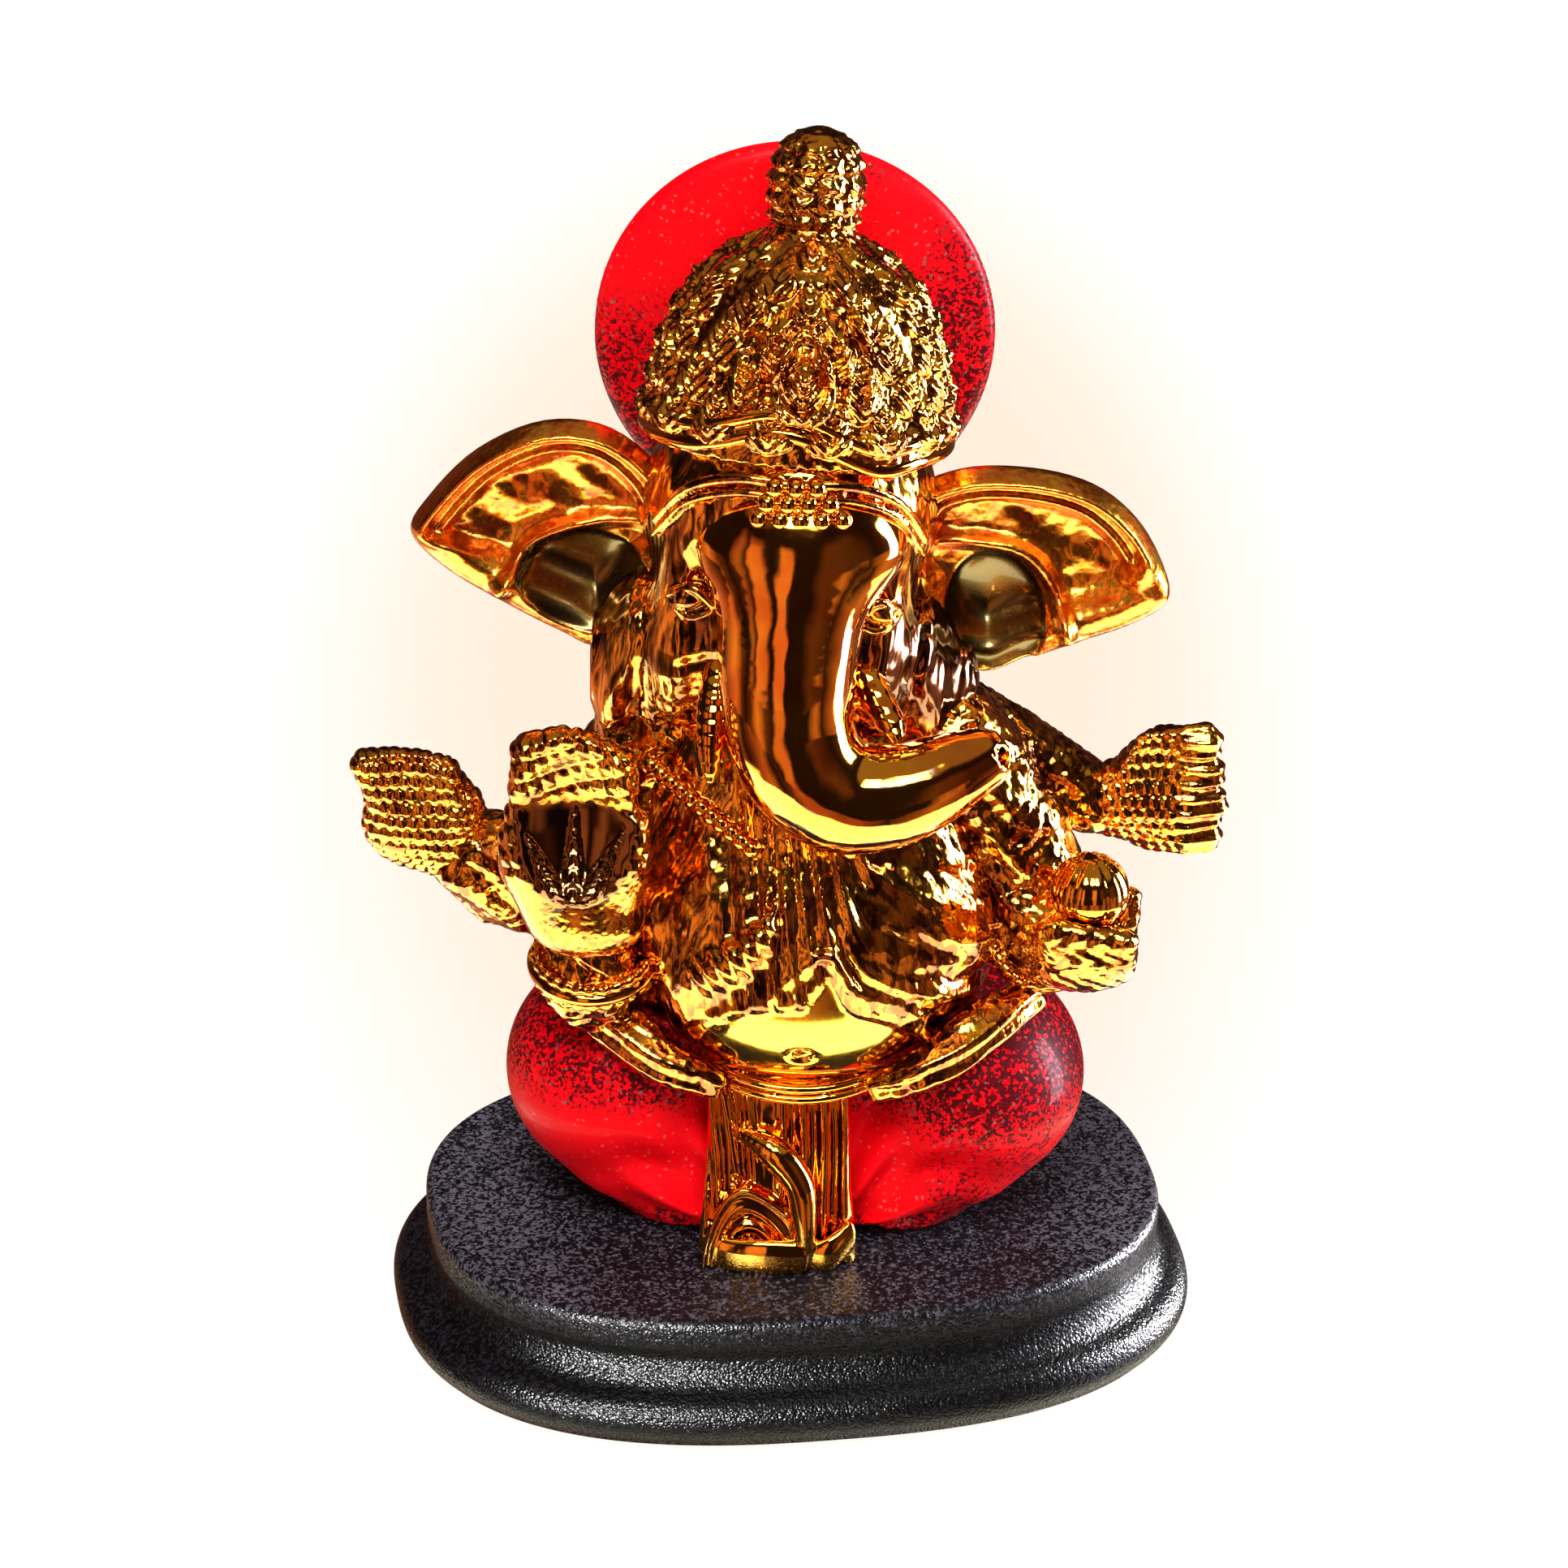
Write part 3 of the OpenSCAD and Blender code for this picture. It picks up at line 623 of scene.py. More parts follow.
def pleatsField(p):
    x, y, z = p.T
    flare = 1 + 0.10 * ease(z, 14, 0)
    u = (x - pleatForm["middle"]) / flare
    front = -16.4 - 2.8 * ease(z, 21, 0)
    sides = np.abs(u) - pleatForm["halfWidth"]
    wave = 0.5 * np.sin((u + 7.6) * 2.6 + 0.5 * np.sin(z * 0.35)) * ease(z, -2, 3) * ease(u, -1.5, 1.5)
    wave = wave + 0.35 * np.sin((u + 7.6) * 4.2 + z * 0.5) * ease(u, -1.5, -4)
    body = meet(meet(sides, np.maximum(z - pleatForm["top"], y + 9), 0.4), front - wave - y, 0.8)
    # the inner fold is a hollow arch with a raised, curling lip
    foldX, foldZ = x + 4.6, z + 0.6
    r = np.hypot(foldX, foldZ * 0.58) * (1 + 0.05 * np.sin(foldX * 0.8))
    arch = meet(r - 6.0, y + 14, 0.5)
    lip = ease(r, 3.9, 4.4) * (1.1 + 0.17 * (r - 4)) + 0.7 * hump(r, 3.1, 0.4)
    lines = 0.35 * np.sin(foldX * 3 + foldZ * 2) * ease(r, 3.2, 2.4)
    bulge = front - 0.5 - lip + 0.25 * np.sin(r * 5) - lines
    arch = meet(arch, bulge - y, 0.5)
    flat = p * np.array([1, 1, 0.42])
    curl = limb(p, [[-5.5, -17.6, 15.8, 0.9], [-2.2, -19.0, 14.4, 1.9], [0.6, -20.0, 11.0, 1.8],
                    [1.4, -20.6, 6.0, 1.5], [1.6, -20.8, 1.6, 1.0]], 5)
    hem = limb(flat, [[-9.8, -19.2, 0.9, 0.85], [-7.2, -20.9, 0.72, 0.95], [-3, -21.6, 0.8, 1.0],
                      [1.2, -21.4, 0.8, 0.9]], 4)
    hem = np.minimum(hem, limb(flat, [[2.2, -20.9, 0.75, 0.7], [4.4, -20.9, 0.95, 0.95],
                                      [6.6, -19.4, 1.6, 0.85]], 4))
    fringe = np.full(len(p), 9.0)
    for n in range(6):
        fringe = np.minimum(fringe, rod(p, (-8.0 - 0.3 * n, -16.4 + 0.7 * n, 20.2 - 0.8 * n),
                                        (-6.6 - 0.7 * n, -17.6 + 0.9 * n, 11 - n), 0.5, 0.65))
    d = join(join(body, arch, 0.5), np.minimum(curl, hem), 0.5)
    return np.maximum(join(d, fringe, 0.4), -z + 0.03)


sculpt("pleatFall", pleatsField, (-14, -25, -1), (10, -7, 23), 0.3, goldPolish, ["dhoti_pleats"])

beltForm = {"at": (0, -2.5, 21.5), "radius": 12.9}


def beltField(p):
    q = p - np.array(beltForm["at"])
    ring = np.hypot(q[:, 0], q[:, 1]) - beltForm["radius"]
    a = np.arctan2(q[:, 0], -q[:, 1])
    top = np.hypot(ring, q[:, 2] - 0.75) - 0.72
    low = np.hypot(ring + 0.1, q[:, 2] + 0.75) - 0.68 - 0.1 * np.sin(a * 60)
    core = np.maximum(np.abs(ring + 1.6) - 1.7, np.abs(q[:, 2]) - 1.2)
    cords = np.full(len(p), 9.0)
    for drop in (0.0, 1.3):
        cords = np.minimum(cords, limb(p, [[-13, -9.5, 24.2 - drop, 0.45], [-7.2, -16.0, 22.8 - drop, 0.5],
                                           [0.5, -18.0, 22.2 - drop, 0.55], [8.2, -15.8, 22.8 - drop, 0.5],
                                           [13.5, -9.5, 24.2 - drop, 0.45]], 6))
    web = limb(p, [[-7, -14.6, 22.2, 0.8], [0.5, -16.6, 21.6, 0.9], [8, -14.4, 22.2, 0.8]], 5)
    return np.minimum(join(join(top, low, 0.25), core, 0.3), join(cords, web, 0.6))


sculpt("waistBelt", beltField, (-15, -20, 19), (16, 13, 26), 0.28, goldPolish, ["waist_belt"])

bodyForm = {"belly": ((0.5, -3, 38), (23.5, 18, 18)), "pot": ((0.5, -4.5, 30.5), (17, 15.8, 12.5)),
            "chest": ((0, 0, 56), (19, 12, 11)), "navel": (0.6, -20.4, 27.6)}


def bodyBase(p):
    d = join(blob(p, *bodyForm["belly"]), blob(p, *bodyForm["pot"]), 5)
    return join(d, blob(p, *bodyForm["chest"]), 9) + 0.3


def bareBelly(x, z):
    # the polished oval of belly that shows below the cloth, drawn up to a point
    tip = 4.0 * hump(x, 3.4, 1.7)
    return np.hypot((x - 0.2) / 14.5, (z - 25.0) / (9.2 + tip))


def torsoField(p):
    x, y, z = p.T
    d = bodyBase(p)
    bare = bareBelly(x, z)
    cloth = np.where(y < 0, ease(bare, 0.94, 1.06), 1.0)
    sweep = ease(x, -9, 9)
    flow = x * (1 - 0.3 * sweep) + z * (0.25 + 0.75 * sweep)
    drape = np.sin(flow * 0.85 + 1.3 * np.sin(z * 0.2 + x * 0.08)) + 0.5 * np.sin(flow * 1.7 - x * 0.4)
    left = strands(p, 0.75, (0.25, 0, 1), 1.0)
    right = strands(p, 0.8, (0.9, 0, -0.8), 3.0, 0.6)
    d = d - cloth * (0.24 * drape + 0.13 * left * (1 - sweep) + 0.15 * right * sweep + 0.35)
    # a broad leaf of gathered cloth, and the rolled hem beside it
    leaf = limb(p, [[-13.5, -15.2, 33.5, 1.6], [-8.5, -19.2, 38.5, 3.0], [-4.0, -20.8, 43.5, 2.4],
                    [-2.5, -19.6, 48, 1.0]], 5)
    leaf = leaf - 0.22 * np.sin((x + z * 0.9) * 2.4 + 0.3 * np.sin(z))
    d = join(d, leaf + 1.1, 1.6)
    hem = limb(p, [[-11.5, -14.6, 27.0, 1.2], [-8.8, -18.4, 31.6, 1.5], [-3.8, -20.3, 35.2, 1.0],
                   [3.0, -21.0, 41.2, 1.0], [6.6, -20.6, 36.4, 1.3], [12.2, -17.6, 33.0, 1.5],
                   [14.6, -15.4, 28, 1.2]], 6)
    d = join(d, hem + 0.55 - 0.12 * grain(p, 1.0), 1.0)
    navel = blob(p, bodyForm["navel"], (1.7, 1.4, 1.1))
    d = cut(d, navel, 0.5)
    d = join(d, rod(p, (-0.1, -19.7, 27.7), (1.4, -19.7, 28.0), 0.35, 0.5), 0.5)
    return np.maximum(d, -z + 21.6)


goldBody = goldFinish("goldBody", 0.0007, 0.00008, along=(1, 1, 0.4), valleyShade=0.8, marked=(1.0, 0.56, 0.045))
sculpt("torsoCloth", torsoField, (-26, -24, 20), (27, 17, 69), 0.42, goldBody, ["torso"],
       mark=lambda p: ease(bareBelly(p[:, 0], p[:, 2]), 1.02, 0.96) * (p[:, 1] < 0))


def sashField(side):
    line = [[side * 26.5, -8, 29.8, 2.4], [side * 21.5, -12.8, 28.2, 2.9], [side * 15.5, -16.4, 25, 2.9],
            [side * 9.5, -17.6, 22.6, 1.6]]

    def field(p):
        d = limb(p, line, 6)
        along = np.sin((p[:, 2] - 0.42 * side * p[:, 0]) * 2.3 + 0.4 * np.sin(p[:, 0] * 0.7))
        d = d - 0.22 * along - 0.12 * strands(p, 0.7, (side, 0.6, 0.42), 2.0) + 0.1
        return d
    return field


sculpt("sashRight", sashField(-1), (-31, -22, 18), (-7, -3, 34), 0.33, goldCloth, ["sash_right"])
sculpt("sashLeft", sashField(1), (7, -22, 18), (31, -3, 34), 0.33, goldCloth, ["sash_left"])
print("lap and body done")

headForm = {"neck": (-3.5, 0, 62), "tilt": 3.5, "skull": ((0, 0, 24), (16.8, 15.6, 19.5)),
            "cheek": ((8.5, -7, 11), (8, 7, 9)), "jowl": ((15.5, 0, 5), (7.5, 8, 9.5)),
            "brow": ((0, -7, 27), (12.5, 8.5, 8)), "crown": (0, 1, 33), "lean": 10}
neckSpin = np.array(spin(headForm["tilt"], "Y"))
crownSpin = np.array(spin(-headForm["lean"], "X"))


def fromNeck(p):
    return (p - np.array(headForm["neck"])) @ neckSpin


def fromCrown(p):
    return (fromNeck(p) - np.array(headForm["crown"])) @ crownSpin


def headBase(p):
    q = fromNeck(p)
    m = mirrored(q)
    d = join(blob(q, *headForm["skull"]), blob(q, *headForm["brow"]), 5)
    d = join(d, blob(m, *headForm["jowl"]), 5)
    return join(d, blob(m, *headForm["cheek"]), 5)


def headField(p):
    q = fromNeck(p)
    m = mirrored(q)
    d = headBase(p) + 0.25
    hair = strands(q, 0.8, (0.15, 0, 1), 1.0) + np.sin(m[:, 0] * 2.4 + 0.8 * np.sin(q[:, 2] * 0.3))
    d = d - 0.10 * hair * ease(m[:, 0], 6, 9)
    # long folds of skin run down beside the trunk
    fold = np.sin(m[:, 0] * 1.05 + 0.9 * np.sin(q[:, 2] * 0.16) + 1.2)
    d = d - 0.5 * fold * ease(m[:, 0], 5, 8) * ease(q[:, 2], 27, 20)
    # arched brow bands, eye sockets, lids and eyes
    for lift, size in ((0, 0.62), (-1.7, 0.42)):
        band = limb(m, [[0.5, -16.2, 34.2 + lift, size], [6, -15.6, 34.4 + lift, size],
                        [11.5, -12.6, 31.6 + lift, size], [15, -8, 25.5 + lift, size * 0.8]], 5)
        d = join(d, band, 0.5)
    d = cut(d, blob(m, (10.4, -13.8, 18.6), (3.2, 2.0, 2.0), (0, 18, -30)), 0.8)
    eye = blob(m, (10.3, -12.4, 18.5), (2.1, 1.5, 1.35), (0, 14, -30))
    lid = limb(m, [[7.9, -13.9, 18.2, 0.4], [10.3, -13.6, 20.1, 0.55], [12.8, -11.6, 18.3, 0.4]], 4)
    under = limb(m, [[8.1, -14.0, 17.6, 0.3], [10.4, -13.8, 16.6, 0.4], [12.7, -11.8, 17.7, 0.3]], 4)
    d = join(join(d, eye, 0.3), np.minimum(lid, under), 0.4)
    wrinkle = np.sin(q[:, 2] * 2.2 + np.abs(q[:, 0]) * 0.6) * ease(m[:, 0], 14, 10) * ease(q[:, 2], 16, 10)
    d = d - 0.16 * wrinkle
    return np.maximum(d, fromCrown(p)[:, 2] - 0.6)


def faceShade(p):
    # painted shade: the cheek under the left ear is darkened to a dark bronze
    far = np.hypot((p[:, 0] - 15.5) / 8.5, (p[:, 2] - 72.0) / 8.5)
    return ease(far, 1.15, 0.8)


# the marked cheek takes a dark bronze painted shade
goldFace = goldFinish("goldFace", 0.0007, 0.00006, along=(1, 1, 0.3), valleyShade=0.85, marked=(0.20, 0.08, 0.03))
sculpt("headForm", headField, (-24, -20, 61), (18, 20, 100), 0.36, goldFace, ["head"], mark=faceShade)

trunkForm = {"line": [[-0.9, -8.8, 88, 9.0], [-1.5, -13.6, 81, 8.3], [-1.9, -16.7, 73.4, 7.6],
                      [-1.5, -18.0, 68, 7.2], [0.4, -19.0, 63.6, 6.9], [4.4, -19.4, 60.6, 6.5],
                      [10, -19.4, 60.6, 5.8], [15.2, -18.4, 62.4, 4.8], [19.6, -16.8, 64.0, 3.6]],
             "root": ((-0.7, -11.4, 87.4), (11.6, 6.8, 6.4)),
             "nostril": ((20.8, -17.8, 64.8), (2.0, 1.4, 1.4))}


def trunkField(p):
    d = limb(p, trunkForm["line"], 8)
    d = join(d, blob(p, *trunkForm["root"]), 5)
    d = cut(d, blob(p, *trunkForm["nostril"]), 0.6)
    return np.maximum(d, fromCrown(p)[:, 2] - 0.4)


sculpt("trunkCurve", trunkField, (-14, -27, 52), (24, 0, 98), 0.42, goldPolish, ["trunk"])


def tuskField(line):
    return lambda p: limb(p, line, 6) - 0.05 * np.sin(p[:, 2] * 5)


sculpt("tuskRight", tuskField([[-9.3, -12.5, 72.5, 2.0], [-10, -15.5, 69, 1.9], [-10.2, -17.5, 66, 1.6],
                               [-10.2, -18.8, 63.5, 1.0], [-10.2, -19.4, 62.2, 0.5]]),
       (-14, -22, 60), (-6, -9, 76), 0.25, goldPolish, ["tusk_right"])
sculpt("tuskLeft", tuskField([[6.8, -13, 72, 2.0], [8.4, -15.5, 70, 1.9], [9.6, -17.5, 68.6, 1.6],
                              [10.2, -18.8, 67.8, 1.0], [10.5, -19.4, 67.4, 0.5]]),
       (3, -22, 64), (14, -9, 76), 0.25, goldPolish, ["tusk_left"])


def jewelField(p):
    d = np.full(len(p), 9.0)
    for row in range(3):
        for n in range(5 - row):
            out = n - (4 - row) / 2
            at = (-0.8 + 2.25 * out - 0.3 * row, -17.0 + 0.25 * row + 0.12 * abs(out) ** 2, 92.4 + 1.8 * row)
            d = np.minimum(d, blob(p, at, (1.15, 1.25, 1.15)))
    plate = blob(p, (-1.0, -14.6, 94.4), (5.2, 1.9, 3.6))
    return np.minimum(d, plate)


sculpt("foreheadJewel", jewelField, (-9, -20, 89.5), (7, -11, 101), 0.22, goldPolish, ["forehead_jewel"])

earForm = {
    "right": {
        "node": "ear_right", "middle": 82, "shell": (-24.6, 77.2, 8.2, 5.6, -14),
        "ring": [(-16, 90), (-22, 95.5), (-29.5, 96.3), (-37, 92.8), (-42.5, 87), (-44.6, 82.5), (-40.5, 78),
                 (-34, 74), (-28, 70.8), (-23, 69.0), (-17, 74), (-14, 82)],
        "ridge": [(-34.5, 76.5), (-30, 82.2), (-24, 84.4), (-16.5, 84.6)]},
    "left": {
        "node": "ear_left", "middle": 80, "shell": (21.5, 73.6, 5.6, 7.6, 10),
        "ring": [(11.5, 88), (17, 91.5), (25, 91.8), (32, 90), (37, 86), (40.2, 80.5), (41, 76), (37, 73),
                 (31, 70.6), (26, 68.6), (20.5, 66.5), (13.5, 70), (10, 78)],
        "ridge": [(29.8, 72), (27.6, 78.2), (23, 82.2), (13.5, 83)]},
}


def segmentReach(x, z, a, b):
    ex, ez = b - a
    share = np.clip(((x - a[0]) * ex + (z - a[1]) * ez) / (ex * ex + ez * ez), 0, 1)
    return np.hypot(x - a[0] - share * ex, z - a[1] - share * ez)


def flatDistance(x, z, ring):
    best = np.full(len(x), 1e9)
    inside = np.zeros(len(x), bool)
    for a, b in zip(ring, np.roll(ring, -1, 0)):
        ex, ez = b - a
        best = np.minimum(best, segmentReach(x, z, a, b))
        span = (a[1] > z) != (b[1] > z)
        side = x < ex * (z - a[1]) / (ez if abs(ez) > 1e-9 else 1e-9) + a[0]
        inside ^= span & side
    return np.where(inside, -best, best)


def shellReach(x, z, shell):
    # 1 on the edge of the dish beside the ear's opening
    sx, sz, wide, tall, lean = shell
    c = math.cos(math.radians(lean))
    s = math.sin(math.radians(lean))
    across = (x - sx) * c + (z - sz) * s
    up = (z - sz) * c - (x - sx) * s
    return np.hypot(across / wide, up / tall)


def earField(spec):
    ring = smoothLine(spec["ring"], 5, True)
    ridge = smoothLine(spec["ridge"], 5)

    def field(p):
        x, y, z = p.T
        edge = flatDistance(x, z, ring)
        depth = np.clip(-edge, 0, 12)
        bowl = 0.9 + 1.9 * ease(depth, 0.5, 6.0)  # the dish sinks away behind its rim
        inner = shellReach(x, z, spec["shell"])
        bowl = bowl + 1.9 * np.sqrt(np.clip(1 - inner ** 2, 0, 1))
        upper = ease(z, spec["middle"] - 2, spec["middle"] + 2)
        rim = 2.4 * hump(depth - 1.2 - 2.2 * (1 - upper), 0, 0.9 + 1.3 * (1 - upper))
        front = bowl - rim - 1.3 * upper * hump(depth, 3.4, 0.6)
        curve = np.full(len(p), 1e9)
        for a, b in zip(ridge[:-1], ridge[1:]):
            curve = np.minimum(curve, segmentReach(x, z, a, b))
        front = front - 1.9 * hump(curve, 0, 1)
        rough = ease(depth, 3.6, 5.0) * ease(inner, 1.0, 1.35)
        ripple = 0.22 * np.sin(x * 0.5 + z + np.sin(x * 0.5))
        ripple = ripple + 0.12 * grain(p * np.array([1, 0, 1]), 1.4)
        front = front - rough * ripple
        back = np.maximum(2.2 + 2.0 * ease(depth, 0, 5), front + 0.6)
        slab = np.maximum(front - 0.9 - y, y - back)
        return meet(slab, edge, 1.6)
    return field


def earDishShade(spec, field):
    # painted shade in the hollow dish of the ear; only the front skin is marked, which is solid just behind
    def share(p):
        behind = p + np.array([0, 0.25, 0])
        return ease(shellReach(p[:, 0], p[:, 2], spec["shell"]), 1.06, 0.96) * (field(behind) < 0)
    return share


# groove is a painted shade colour for the grooves; the marked dish is painted a dark olive shade
earLook = {"bright": (1.0, 0.48, 0.04), "deep": (1.0, 0.24, 0.02), "groove": (0.62, 0.11, 0.015)}
earFinish = goldFinish("goldEar", 0.0009, 0.00010, rough=0.22, valleyShade=0.4, marked=(0.16, 0.11, 0.03),
                       look=earLook)
for side in ("right", "left"):
    spec = earForm[side]
    ring = np.array(spec["ring"])
    field = earField(spec)
    sculpt("ear" + side.title(), field, (ring[:, 0].min() - 2, -4, ring[:, 1].min() - 2),
           (ring[:, 0].max() + 2, 7.5, ring[:, 1].max() + 2), 0.33, earFinish, [spec["node"]],
           mark=earDishShade(spec, field))
print("head done")

# each row of leaves: height, radius, count, leaf width, leaf height
crownForm = {
    "line": [(0, 17.3), (0.9, 17.4), (3.4, 17.2), (4.2, 16.3), (7, 15.8), (10.5, 14.9), (14, 13.7),
             (17, 12.2), (19.6, 10), (21.6, 7.2), (23, 5.4), (23.4, 4.6)],
    "rows": [(4.6, 16.6, 16, 2.2, 3.2), (8.6, 15.9, 15, 2.2, 3.6), (12.8, 14.8, 14, 2.0, 3.6),
             (16.6, 13.0, 12, 1.8, 3.2), (19.8, 10.4, 9, 1.7, 2.6), (22.0, 7.2, 8, 1.3, 1.6)]}


def lathe(q, line):
    r = np.hypot(q[:, 0], q[:, 1])
    z = q[:, 2]
    heights, radii = np.array(line).T
    outer = r - np.interp(z, heights, radii)
    return np.maximum(outer * 0.85, np.maximum(heights[0] - z, z - heights[-1]))


def crownField(p):
    q = fromCrown(p)
    d = lathe(q, crownForm["line"])
    a = np.arctan2(q[:, 0], -q[:, 1])
    z = q[:, 2]
    for row, (height, radius, count, wide, tall) in enumerate(crownForm["rows"]):
        turn = (a / (2 * math.pi) * count + 0.5 * (row % 2)) % 1 - 0.5
        across = turn * 2 * math.pi * radius / count
        up = (z - height) / tall
        leaf = np.clip(1 - (across / (wide * np.clip(1.15 - 0.6 * up, 0.3, 1.6))) ** 2 - up ** 2, 0, 1)
        veins = 0.25 * np.sin((np.abs(across) * 1.2 - (z - height)) * 4.2)
        d = d - (0.95 + veins) * np.sqrt(leaf) * (1 - 0.35 * hump(across, 0, 0.28))
    # the teardrop medallion at the middle of the front
    mx, mz = q[:, 0], z - 10.2
    drop = np.hypot(mx / (3.1 * np.clip(1.1 - 0.09 * mz, 0.4, 1.5)), mz / 5.6)
    face = ease(q[:, 1], 0, -6)
    medallion = 1.5 * ease(drop, 1.06, 0.94) - 1.0 * ease(drop, 0.78, 0.66) + 0.9 * hump(drop, 0, 0.34)
    d = d - face * medallion
    for reach in (5.0, 7.4):
        spread = np.hypot(mx / reach, (mz + 1) / (reach * 1.45))
        d = d - face * 0.6 * hump(spread, 1, 0.09) * ease(mz, -6.5, -3)
    return d - 0.10 * grain(q, 0.7)


sculpt("crownBell", crownField, (-23, -22, 92), (21, 22, 124), 0.3, goldGrain, ["crown"])


def bandField(p):
    q = fromCrown(p)
    a = np.arctan2(q[:, 0], -q[:, 1])
    # it rises in a wave over the brow, higher towards the left
    lift = 3.0 * hump(a, -0.12, 0.42) - 1.0 * hump(a, 0.55, 0.3)
    z = q[:, 2] - lift * ease(np.abs(a), 1.6, 0.9)
    r = np.hypot(q[:, 0], q[:, 1])
    low = np.hypot(r - 16.9, z - 0.75) - 0.85
    high = np.hypot(r - 17.0, z - 2.9) - 0.75
    web = np.maximum(np.abs(r - 15.2) - 1.9, np.abs(z - 1.7) - 1.6)
    core = np.maximum(r - 16.0, np.abs(q[:, 2] - 1.8) - 1.75)
    return join(join(join(low, high, 0.4), web, 0.3), core, 0.5)


sculpt("crownBand", bandField, (-23, -22, 90), (21, 22, 106), 0.33, goldPolish, ["crown_band"])

finialForm = {"line": [(22.6, 5.3), (23.4, 5.2), (24.0, 4.5), (24.8, 5.1), (28, 5.3), (30.5, 5.0),
                       (32.6, 4.3), (34.2, 2.8), (34.9, 0.8), (35.0, 0.1)]}


def finialField(p):
    q = fromCrown(p)
    a = np.arctan2(q[:, 0], -q[:, 1])
    d = lathe(q, finialForm["line"])
    knobs = np.abs(np.sin(a * 5)) * np.abs(np.sin(q[:, 2] * 1.45 + 0.5))
    return d - 0.45 * knobs * ease(q[:, 2], 34.6, 33) + 0.12 - 0.16 * grain(q, 0.6)


sculpt("crownFinial", finialField, (-7, -5, 113), (9, 13, 133), 0.24, goldGrain, ["crown_finial"])

haloForm = {"at": (-0.7, 20, 38.6), "radius": 23.0, "thick": 6.0}


def fromHalo(p):
    q = fromNeck(p) - np.array(haloForm["at"])
    return np.stack([q[:, 0], q[:, 2], -q[:, 1]], 1)


def haloField(p):
    q = fromHalo(p)
    r = np.hypot(q[:, 0], q[:, 1])
    share = np.clip(r / haloForm["radius"], 0, 1)
    front = q[:, 2] - 2.4 - (haloForm["thick"] - 2.4) * (1 - share ** 2) + 0.05
    front = front - 0.15 * np.sin(q[:, 0] * 0.35 + 1) * np.sin(q[:, 1] * 0.3)
    return meet(np.maximum(front, 0.03 - q[:, 2]), r - haloForm["radius"] + 0.05, 1.8)


def haloBackField(p):
    q = fromHalo(p)
    r = np.hypot(q[:, 0], q[:, 1])
    a = np.arctan2(q[:, 1], q[:, 0])
    petals = 0.18 * np.sin(a * 24) * ease(r, 6, 12) * ease(r, 20, 17)
    dish = np.maximum(q[:, 2], 0.5 * ease(r, 0, 18) - q[:, 2] - 2.1 - petals)
    return meet(dish, r - haloForm["radius"] + 0.4 - 0.9 * q[:, 2], 0.8)


def haloShade(f):
    # painted shade: the red is darker towards the bottom and towards the right side
    height = f.axis("Z")
    side = f.axis("X")
    low = f.clamp(height, plinthTop + 0.118, plinthTop + 0.092, 0.0, 0.30)
    return low + f.clamp(side, 0.0, 0.012, 0.0, 0.14)


sculpt("haloDisc", haloField, (-28, 8, 74), (26, 24, 128), 0.4, redFinish("redHalo", haloShade), ["halo"])
sculpt("haloBack", haloBackField, (-28, 14, 74), (26, 28, 128), 0.4, goldGrain, ["halo_back"])

armForm = {
    "frontRight": [[-16.5, 0, 59.5, 7.5], [-22.5, -1.5, 45, 7], [-23, -7.5, 34.5, 6.8], [-23.3, -12.6, 33, 6],
                   [-23.6, -13.6, 38, 5.4]],
    "frontLeft": [[17, -1, 58.5, 7.5], [25, -2, 46, 7], [27, -5, 38.6, 6.4], [30.2, -9.6, 37, 5]],
    "rearRight": [[-16, 4, 58, 7], [-24, 5, 44, 6.4], [-31.5, 4.5, 37.5, 6.8], [-37.2, 3.6, 40.5, 6]],
    "rearLeft": [[14, 4, 59, 7], [22, 4, 55.6, 5.8], [28.5, 3.4, 52.4, 5.2], [33, 2.6, 50, 4.4]],
}


def armField(line, seed):
    def field(p):
        d = limb(p, line, 6) + 0.25
        folds = np.sin(p[:, 2] * 1.1 + p[:, 0] * 0.7 + 1.2 * np.sin(p[:, 0] * 0.4 + seed))
        return d - 0.26 * folds - 0.2 * grain(p, 1.0, seed) - 0.1 * grain(p, 0.6, seed)
    return field


def armBox(line, pad=2.0):
    pts = smoothLine(line, 6)
    low = (pts[:, :3] - pts[:, 3:]).min(0) - pad
    high = (pts[:, :3] + pts[:, 3:]).max(0) + pad
    return low, high


for n, (name, node) in enumerate((("rearRight", "rear_right_arm"), ("rearLeft", "rear_left_arm"),
                                  ("frontRight", "front_right_arm"), ("frontLeft", "front_left_arm"))):
    low, high = armBox(armForm[name])
    sculpt(name + "Arm", armField(armForm[name], 1.0 + n), low, high, 0.38, goldCloth, [node])


def digit(p, base, tip, size):
    # a finger, bent a little forward at its middle
    base, tip = np.array(base, float), np.array(tip, float)
    mid = (base + tip) / 2 + np.array((0, -0.5, 0))
    return np.minimum(rod(p, base, mid, size, size * 1.02), rod(p, mid, tip, size * 1.02, size * 0.85))


def leafRelief(x, z, width, height):
    # one pointed leaf with a midrib and side veins
    share = np.clip(1 - (x / (width * np.clip(1 - z / height, 0.05, 1))) ** 2, 0, 1) * (z > 0) * (z < height)
    return np.sqrt(share) * (1 - 0.5 * hump(x, 0, 0.25)) + 0.3 * share * np.sin((np.abs(x) + z) * 4)


blessingForm = {"palm": ((-25.6, -15.2, 50.5), (8.4, 5.2, 9.2)),
                "heel": ((-23.9, -14.4, 41.8), (6.6, 5.2, 4.6)),
                "bowl": ((-25.4, -25.6, 58.0), (9.0, 9.6, 13.0)), "leaning": (-52, -26, 0, 26, 52)}


